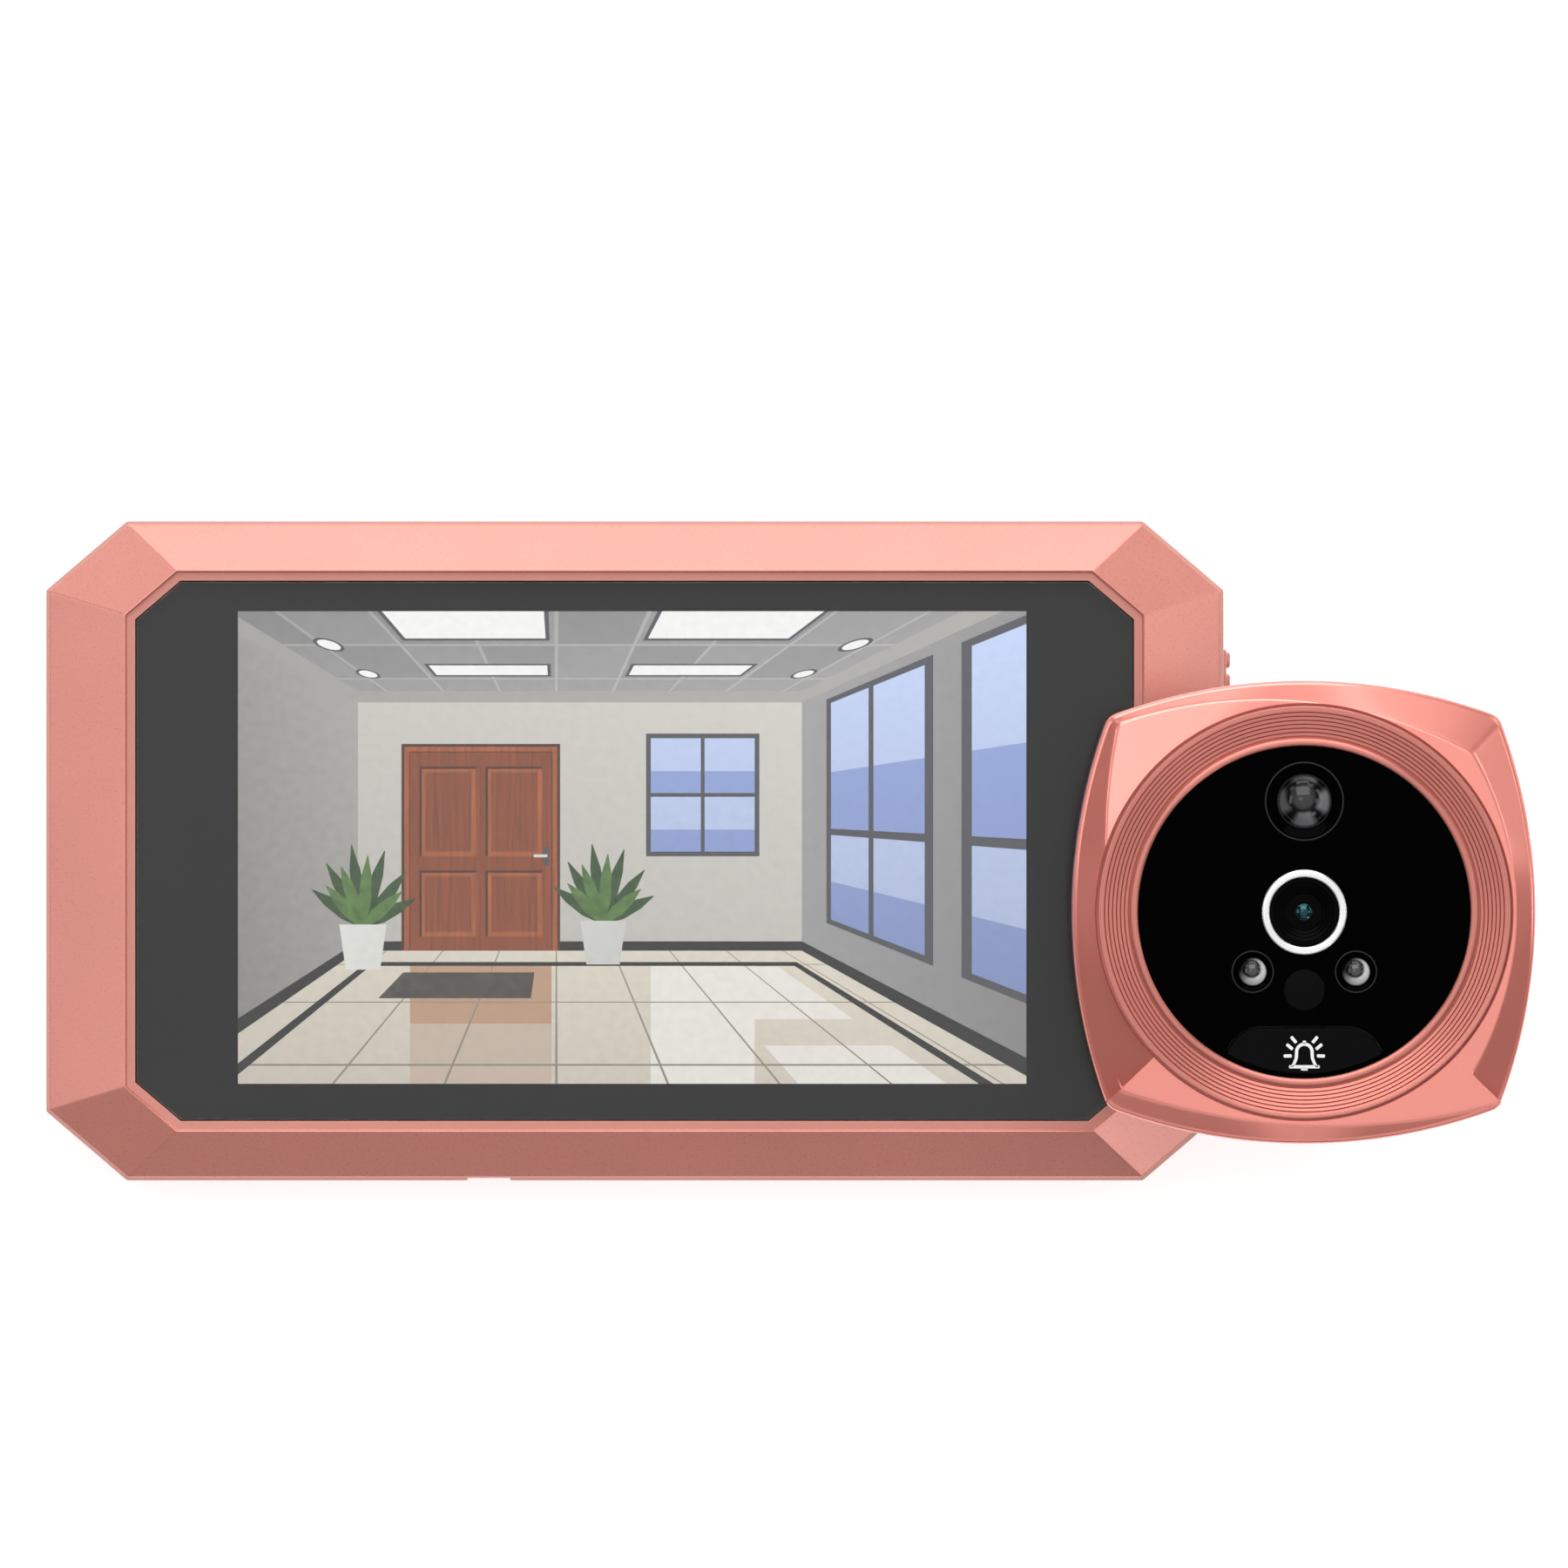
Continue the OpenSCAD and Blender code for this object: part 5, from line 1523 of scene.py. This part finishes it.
def floor_patch(bm, x0, x1, z0, z1, layer, colour, y=HALL_LOW):
    hall_patch(bm, [(x0, y, z0), (x1, y, z0), (x1, y, z1), (x0, y, z1)], layer, colour)


def ceiling_patch(bm, x0, x1, z0, z1, layer, colour):
    floor_patch(bm, x0, x1, z0, z1, layer, colour, y=HALL_TOP)


def side_patch(bm, x, y0, y1, z0, z1, layer, colour):
    hall_patch(bm, [(x, y0, z0), (x, y0, z1), (x, y1, z1), (x, y1, z0)], layer, colour)


print("hall", HALL_RIGHT - HALL_LEFT, "by", HALL_BACK, "m")

# %% [markdown]
# The bare hall comes first: walls with a dark skirting, a floor of tiles with a dark border, and a
# ceiling of panels with lights. The floor is polished, so what stands at the far wall shows in it as
# pale strips.

# %% Walls, floor and ceiling of the hall
TILE = 0.6
LINE = 0.007
PANEL_LINE = LINE * 2
SKIRTING = 0.1
COVE = 0.12
BORDER = 0.25
BORDER_W = 0.08
LIGHT_W, LIGHT_EDGE = 1.1, 0.03
MIRROR_GAP = 1.5
SPOT_POINTS = 16


def build_hall(bm):
    half_w, half_h = PICTURE_W / 2, PICTURE_H / 2
    whole = [(-half_w, -half_h), (half_w, -half_h), (half_w, half_h), (-half_w, half_h)]
    picture_plate(bm, whole, 0, "wall")
    floor_patch(bm, HALL_LEFT, HALL_RIGHT, HALL_NEAR, HALL_BACK, 1, "floor")
    ceiling_patch(bm, HALL_LEFT, HALL_RIGHT, HALL_NEAR, HALL_BACK, 1, "ceiling")
    for x, colour in ((HALL_LEFT, "left_wall"), (HALL_RIGHT, "right_wall")):
        side_patch(bm, x, HALL_LOW, HALL_TOP, HALL_NEAR, HALL_BACK, 1, colour)
        side_patch(bm, x, HALL_TOP - COVE, HALL_TOP, HALL_NEAR, HALL_BACK, 2, "corner_shade")
        side_patch(bm, x, HALL_LOW, HALL_LOW + SKIRTING, HALL_NEAR, HALL_BACK, 2, "dark_line")
    wall_patch(bm, HALL_LEFT, HALL_RIGHT, HALL_TOP - COVE, HALL_TOP, 2, "corner_shade")
    wall_patch(bm, HALL_LEFT, HALL_RIGHT, HALL_LOW, HALL_LOW + SKIRTING, 2, "dark_line")


def build_floor_tiles(bm):
    for i in range(-3, 5):
        x = i * TILE
        floor_patch(bm, x - LINE, x + LINE, HALL_NEAR, HALL_BACK, 3, "tile_line")
    for i in range(2, 6):
        z = i * TILE
        floor_patch(bm, HALL_LEFT, HALL_RIGHT, z - LINE, z + LINE, 4, "tile_line")
    left, right, back = HALL_LEFT + BORDER, HALL_RIGHT - BORDER, HALL_BACK - BORDER
    floor_patch(bm, left, left + BORDER_W, HALL_NEAR, back, 5, "dark_line")
    floor_patch(bm, right - BORDER_W, right, HALL_NEAR, back, 5, "dark_line")
    floor_patch(bm, left, right, back - BORDER_W, back, 5, "dark_line")


def build_ceiling(bm):
    for i in range(-3, 5):
        x = i * TILE
        for k in range(2, 6):
            z = k * TILE
            near_x, far_x = max(x - TILE, HALL_LEFT), min(x, HALL_RIGHT)
            if (i + k) % 2 and far_x > near_x:
                ceiling_patch(bm, near_x, far_x, z - TILE, min(z, HALL_BACK), 2, "ceiling_dark")
            ceiling_patch(bm, HALL_LEFT, HALL_RIGHT, z - PANEL_LINE, z + PANEL_LINE, 3, "ceiling_line")
        ceiling_patch(bm, x - PANEL_LINE, x + PANEL_LINE, HALL_NEAR, HALL_BACK, 4, "ceiling_line")


def build_ceiling_lights(bm):
    edge = LIGHT_EDGE
    for x in (-1.15, 0.65):
        for z0, z1 in ((1.86, 2.34), (2.7, 2.95)):
            ceiling_patch(bm, x, x + LIGHT_W, z0, z1, 5, "window_bar")
            ceiling_patch(bm, x + edge, x + LIGHT_W - edge, z0 + edge, z1 - edge, 6, "lamp")
    turns = [math.tau * k / SPOT_POINTS for k in range(SPOT_POINTS)]
    for x in (HALL_LEFT + 0.35, HALL_RIGHT - 0.3):
        for z in (1.9, 2.4, 2.9):
            for size, layer, colour in ((0.1, 5, "window_bar"), (0.075, 6, "lamp")):
                spot = [(x + size * math.cos(t), HALL_TOP, z + size * math.sin(t)) for t in turns]
                hall_patch(bm, spot, layer, colour)


def build_floor_mirror(bm, left, right, colours):
    top = seen(left, HALL_LOW, HALL_BACK)[1] - MIRROR_GAP
    x0, x1 = seen(left, 0, HALL_BACK)[0], seen(right, 0, HALL_BACK)[0]
    step = (top + PICTURE_H / 2) / len(colours)
    for i, colour in enumerate(colours):
        y = top - i * step
        picture_plate(bm, [(x0, y - step), (x1, y - step), (x1, y), (x0, y)], 2, colour)


print("tiles of", TILE, "m")

# %% [markdown]
# The door is a stack of frames and panels, each a little smaller and in another brown, which gives the
# mouldings their light and dark edges. The windows are panes of sky between grey bars. A plant is a
# pot and ten leaves that lean out from one point.

# %% Door, windows and plants of the hall
DOOR_LEFT, DOOR_W, DOOR_H = -1.55, 1.5, 2.1
door_frames = ((0.09, 3, "door_dark"), (0.06, 4, "door_light"), (0.01, 5, "door_dark"))
door_panels = ((0.15, 0.85), (1.0, 1.95))
SILL = 0.45
TRANSOM_LOW, TRANSOM_TOP = -0.2, -0.14
leaf_leans = (-62, -38, -16, 8, 30, 54, -48, -4, 20, 42)
BACK_LEAVES = 6
POT_OUTLINE = ((-0.16, 0), (0.16, 0), (0.22, 0.42), (-0.22, 0.42))
LEAF_FOOT = 0.4


def build_door(bm):
    left, right, top = DOOR_LEFT, DOOR_LEFT + DOOR_W, HALL_LOW + DOOR_H
    for edge, layer, colour in door_frames:
        wall_patch(bm, left - edge, right + edge, HALL_LOW, top + edge, layer, colour)
    wall_patch(bm, left, right, HALL_LOW, top, 6, "door")
    panel_w = DOOR_W / 2 - 0.15
    for low, high in door_panels:
        y0, y1 = HALL_LOW + low, HALL_LOW + high
        for x in (left + 0.1, left + DOOR_W / 2 + 0.05):
            wall_patch(bm, x, x + panel_w, y0, y1, 7, "door_dark")
            wall_patch(bm, x + 0.025, x + panel_w, y0, y1 - 0.025, 8, "door_light")
            wall_patch(bm, x + 0.06, x + panel_w - 0.05, y0 + 0.05, y1 - 0.06, 9, "door")
    wall_patch(bm, right - 0.085, right - 0.03, HALL_LOW + 0.9, HALL_LOW + 1.1, 8, "window_bar")
    wall_patch(bm, right - 0.19, right - 0.045, HALL_LOW + 0.99, HALL_LOW + 1.02, 9, "pot")
    build_floor_mirror(bm, left, right, ("mirror_far", "mirror_near"))
    floor_patch(bm, left + 0.15, right - 0.15, 2.45, 2.85, 6, "mat")


def build_windows(bm):
    top = HALL_TOP - 0.25
    for low, high in ((1.25, 1.95), (2.2, 2.95)):
        side_patch(bm, HALL_RIGHT, HALL_LOW + 0.4, top + 0.05, low - 0.05, high + 0.05, 3, "window_bar")
        middle = (low + high) / 2
        for z0, z1 in ((low, middle - 0.02), (middle + 0.02, high)):
            for y0, y1 in ((HALL_LOW + SILL, TRANSOM_LOW), (TRANSOM_TOP, top)):
                side_patch(bm, HALL_RIGHT, y0, y1, z0, z1, 4, "sky")
                side_patch(bm, HALL_RIGHT, y0 + (y1 - y0) * 0.45, y1, z0, z1, 5, "sky_light")
        floor_patch(bm, HALL_RIGHT - 1.3, HALL_RIGHT - 0.5, low, high, 2, "shine")
    wall_patch(bm, 0.95, 2.15, -0.45, 0.85, 3, "window_bar")
    for x0, x1 in ((1.0, 1.53), (1.57, 2.1)):
        for y0, y1 in ((-0.4, 0.18), (0.22, 0.8)):
            wall_patch(bm, x0, x1, y0, y1, 4, "sky")
            wall_patch(bm, x0, x1, y0 + (y1 - y0) * 0.4, y1, 5, "sky_light")
    build_floor_mirror(bm, 1.0, 2.1, ("shine",))


def build_plant(bm, x, depth):
    base_x, base_y = seen(x, HALL_LOW, depth)
    scale = EYE_SCALE / depth

    def stand(points, layer, colour):
        picture_plate(bm, [(base_x + px * scale, base_y + py * scale) for px, py in points], layer, colour)

    stand(POT_OUTLINE, 10, "pot")
    for number, lean in enumerate(leaf_leans):
        in_front = number >= BACK_LEAVES
        tip = math.radians(90 + lean)
        length = 0.8 - 0.004 * abs(lean) - 0.12 * in_front
        edge = [(0, 0.015), (0.35 * length, 0.06), (0.7 * length, 0.05), (length, 0.004)]
        leaf = [(a, -b) for a, b in edge] + list(reversed(edge))
        upright = [
            (a * math.cos(tip) - b * math.sin(tip), LEAF_FOOT + a * math.sin(tip) + b * math.cos(tip))
            for a, b in leaf
        ]
        stand(upright, *((9, "leaf_light") if in_front else (8, "leaf")))


def build_picture():
    bm = bmesh.new()
    bare_hall = [build_hall, build_floor_tiles, build_ceiling, build_ceiling_lights]
    for build in bare_hall + [build_door, build_windows]:
        build(bm)
    build_plant(bm, 0.45, 3.0)
    build_plant(bm, -1.8, 2.9)
    finish_piece(bm, "screen_picture", list(picture_colours.values()), "screen_unit", "display")


build_picture()

# %% [markdown]
# ## CAD pieces that stay
# The rear cover, the bracket, the boards, sockets and screws already have their real shape, so each
# keeps its CAD mesh and only gets its finish.

# %% Finishes of the CAD pieces
dark_parts = ["main_chips", "speaker", "key_switch", "sensor_holder", "bell_switch", "back_plate"]
sockets = ["usb_socket", "card_socket"]
screws = ["case_screws", "board_screws", "head_board_screws", "back_screws"]
cad_finishes = [
    (case_paint, ["rear_cover"]),
    (plain["mask_print"], ["screen_mask"]),
    (plain["face_black"], ["lcd_panel", "face_disc"]),
    (plain["barrel_black"], ["head_mic"]),
    (plain["chip_black"], dark_parts),
    (plain["solder_green"], ["main_board", "head_board"]),
    (plain["connector_cream"], ["cable_socket", "light_sensor", "head_socket"]),
    (plain["foam"], ["foam_pad"]),
    (battery_foil, ["battery_pack"]),
    (steel, ["lcd_tray", "mounting_bracket", "pir_sensor"] + sockets + screws),
]
for material, nodes in cad_finishes:
    for node in nodes:
        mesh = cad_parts[node].data
        mesh.materials.clear()
        mesh.materials.append(material)
print("CAD pieces with a finish:", sum(len(nodes) for material, nodes in cad_finishes))

# %% [markdown]
# ## Studio
# The set lies on a plain white table and is seen from straight above. The table is a wide round one
# with a low rim as its backdrop. Its own glow answers only rays that look at it, straight or by way of
# gloss and glass, so it shows white without lighting the set, and the set's shadow stays.

# %% Table
TABLE_R = 8.0
BACKDROP_H = 0.45
TABLE_GAP = 0.0003
GLOW_NEAR, GLOW_FAR = 0.6, 1.0
NEAR_R, FAR_R = 0.3, 1.2
TABLE_WHITE = {
    "Base Color": (0.9, 0.9, 0.9, 1),
    "Roughness": 0.9,
    "Specular IOR Level": 0.1,
    "Emission Color": (1, 1, 1, 1),
}


def table_material():
    material, tree, shader = new_material("table_white")
    set_inputs(shader, TABLE_WHITE)
    away = vector_calc(tree, "LENGTH", object_place(tree))
    glow = value_range(tree, away, GLOW_NEAR, GLOW_FAR, NEAR_R, FAR_R)
    rays = add_node(tree, "LightPath").outputs
    looks = rays["Is Camera Ray"]
    for kind in ("Is Glossy Ray", "Is Transmission Ray"):
        looks = calc(tree, "MAXIMUM", looks, rays[kind])
    tree.links.new(calc(tree, "MULTIPLY", glow, looks), shader.inputs["Emission Strength"])
    return material


def build_table():
    bm = bmesh.new()
    bmesh.ops.create_circle(bm, cap_ends=True, radius=TABLE_R, segments=96)
    rim = bmesh.ops.extrude_edge_only(bm, edges=list(bm.edges))["geom"]
    raised = [part for part in rim if isinstance(part, bmesh.types.BMVert)]
    bmesh.ops.translate(bm, vec=(0, 0, BACKDROP_H), verts=raised)
    bmesh.ops.translate(bm, vec=(0, 0, -TABLE_GAP), verts=bm.verts)
    mesh = bpy.data.meshes.new("white_table")
    bm.to_mesh(mesh)
    bm.free()
    mesh.materials.append(table_material())
    table = bpy.data.objects.new("white_table", mesh)
    bpy.context.scene.collection.objects.link(table)


build_table()
print("table", 2 * TABLE_R, "m wide")

# %% [markdown]
# The light of the room comes from straight above and falls off towards the horizon. So the faces that
# look up are bright and the steep ones are dark, and the shapes stand out. A ramp over the height of
# the direction gives this fall.

# %% World
world_levels = ((0.0, 0.03), (0.3, 0.05), (0.5, 0.1), (0.7, 0.14), (0.8, 0.3), (0.88, 0.95), (1.0, 1.0))


def build_world():
    world = bpy.data.worlds.new("studio")
    bpy.context.scene.world = world
    world.use_nodes = True
    tree = world.node_tree
    direction = add_node(tree, "TexCoord").outputs["Generated"]
    height = add_node(tree, "SeparateXYZ", direction).outputs["Z"]
    level = add_node(tree, "ValToRGB", height)
    elements = level.color_ramp.elements
    for position, grey in world_levels[1:-1]:
        elements.new(position).color = (grey, grey, grey, 1)
    for element, (position, grey) in zip(elements, world_levels):
        element.position = position
        element.color = (grey, grey, grey, 1)
    tree.links.new(level.outputs["Color"], tree.nodes["Background"].inputs["Color"])


build_world()
print("world levels", len(world_levels))

# %% [markdown]
# Ten soft lamps stand round the set. Each one is placed where a facet mirrors it to the camera: a facet
# that leans by some angle mirrors what stands twice that angle away from the camera. The broad key and
# the strip beyond the top edge light the upper facets, smaller ones the sides and corners.

# %% Lamps
TARGET = Vector((0.018, 0.0, 0.02))


def soft_lamp(name, azimuth, elevation, distance, size, power):
    light = bpy.data.lights.new(name, "AREA")
    light.shape = "RECTANGLE"
    light.size, light.size_y = size
    light.energy = power
    lamp = bpy.data.objects.new(name, light)
    turn, rise = math.radians(azimuth), math.radians(elevation)
    flat = math.cos(rise) * distance
    away = Vector((flat * math.cos(turn), flat * math.sin(turn), distance * math.sin(rise)))
    lamp.location = TARGET + away
    lamp.rotation_euler = (TARGET - lamp.location).to_track_quat("-Z", "Y").to_euler()
    bpy.context.scene.collection.objects.link(lamp)


studio_lamps = [
    ("lamp_key", 93, 50, 1.6, (1.3, 0.9), 12.6),
    ("lamp_top_strip", 92, 15, 1.6, (1.0, 0.3), 3.0),
    ("lamp_up_right", 66, 24, 1.5, (0.45, 0.3), 0.95),
    ("lamp_right", 26, 26, 1.5, (0.75, 0.3), 1.8),
    ("lamp_case_right", 2, 42, 1.5, (0.4, 0.3), 0.9),
    ("lamp_low_right", -49, 32, 1.5, (0.35, 0.35), 1.1),
    ("lamp_left", 172, 42, 1.5, (0.7, 0.25), 1.5),
    ("lamp_up_left", 131, 24, 1.5, (0.35, 0.3), 0.5),
    ("lamp_high", 135, 77, 1.5, (0.3, 0.3), 0.6),
    ("lamp_low", 272, 46, 1.5, (1.2, 0.2), 0.85),
]
for lamp_values in studio_lamps:
    soft_lamp(*lamp_values)
print("lamps", len(studio_lamps))

# %% [markdown]
# The camera looks straight down through a long lens, because the photograph shows next to no
# perspective: the sides of the case and the head hardly show. Its place is the middle of the image,
# and its distance sets the scale.

# %% Camera
IMAGE_CENTRE_X, IMAGE_CENTRE_Y = 17.73, 7.94
GLASS_LEVEL = 17.0
LENS_MM = 450.0
SENSOR_MM = 36.0
CAMERA_DISTANCE = 2.326


def build_camera():
    data = bpy.data.cameras.new("camera")
    data.lens = LENS_MM
    data.sensor_width = SENSOR_MM
    camera = bpy.data.objects.new("camera", data)
    camera.location = (IMAGE_CENTRE_X * MM, IMAGE_CENTRE_Y * MM, GLASS_LEVEL * MM + CAMERA_DISTANCE)
    bpy.context.scene.collection.objects.link(camera)
    bpy.context.scene.camera = camera
    print("camera at", tuple(round(v, 3) for v in camera.location))


build_camera()
bpy.context.scene.view_settings.view_transform = "Standard"
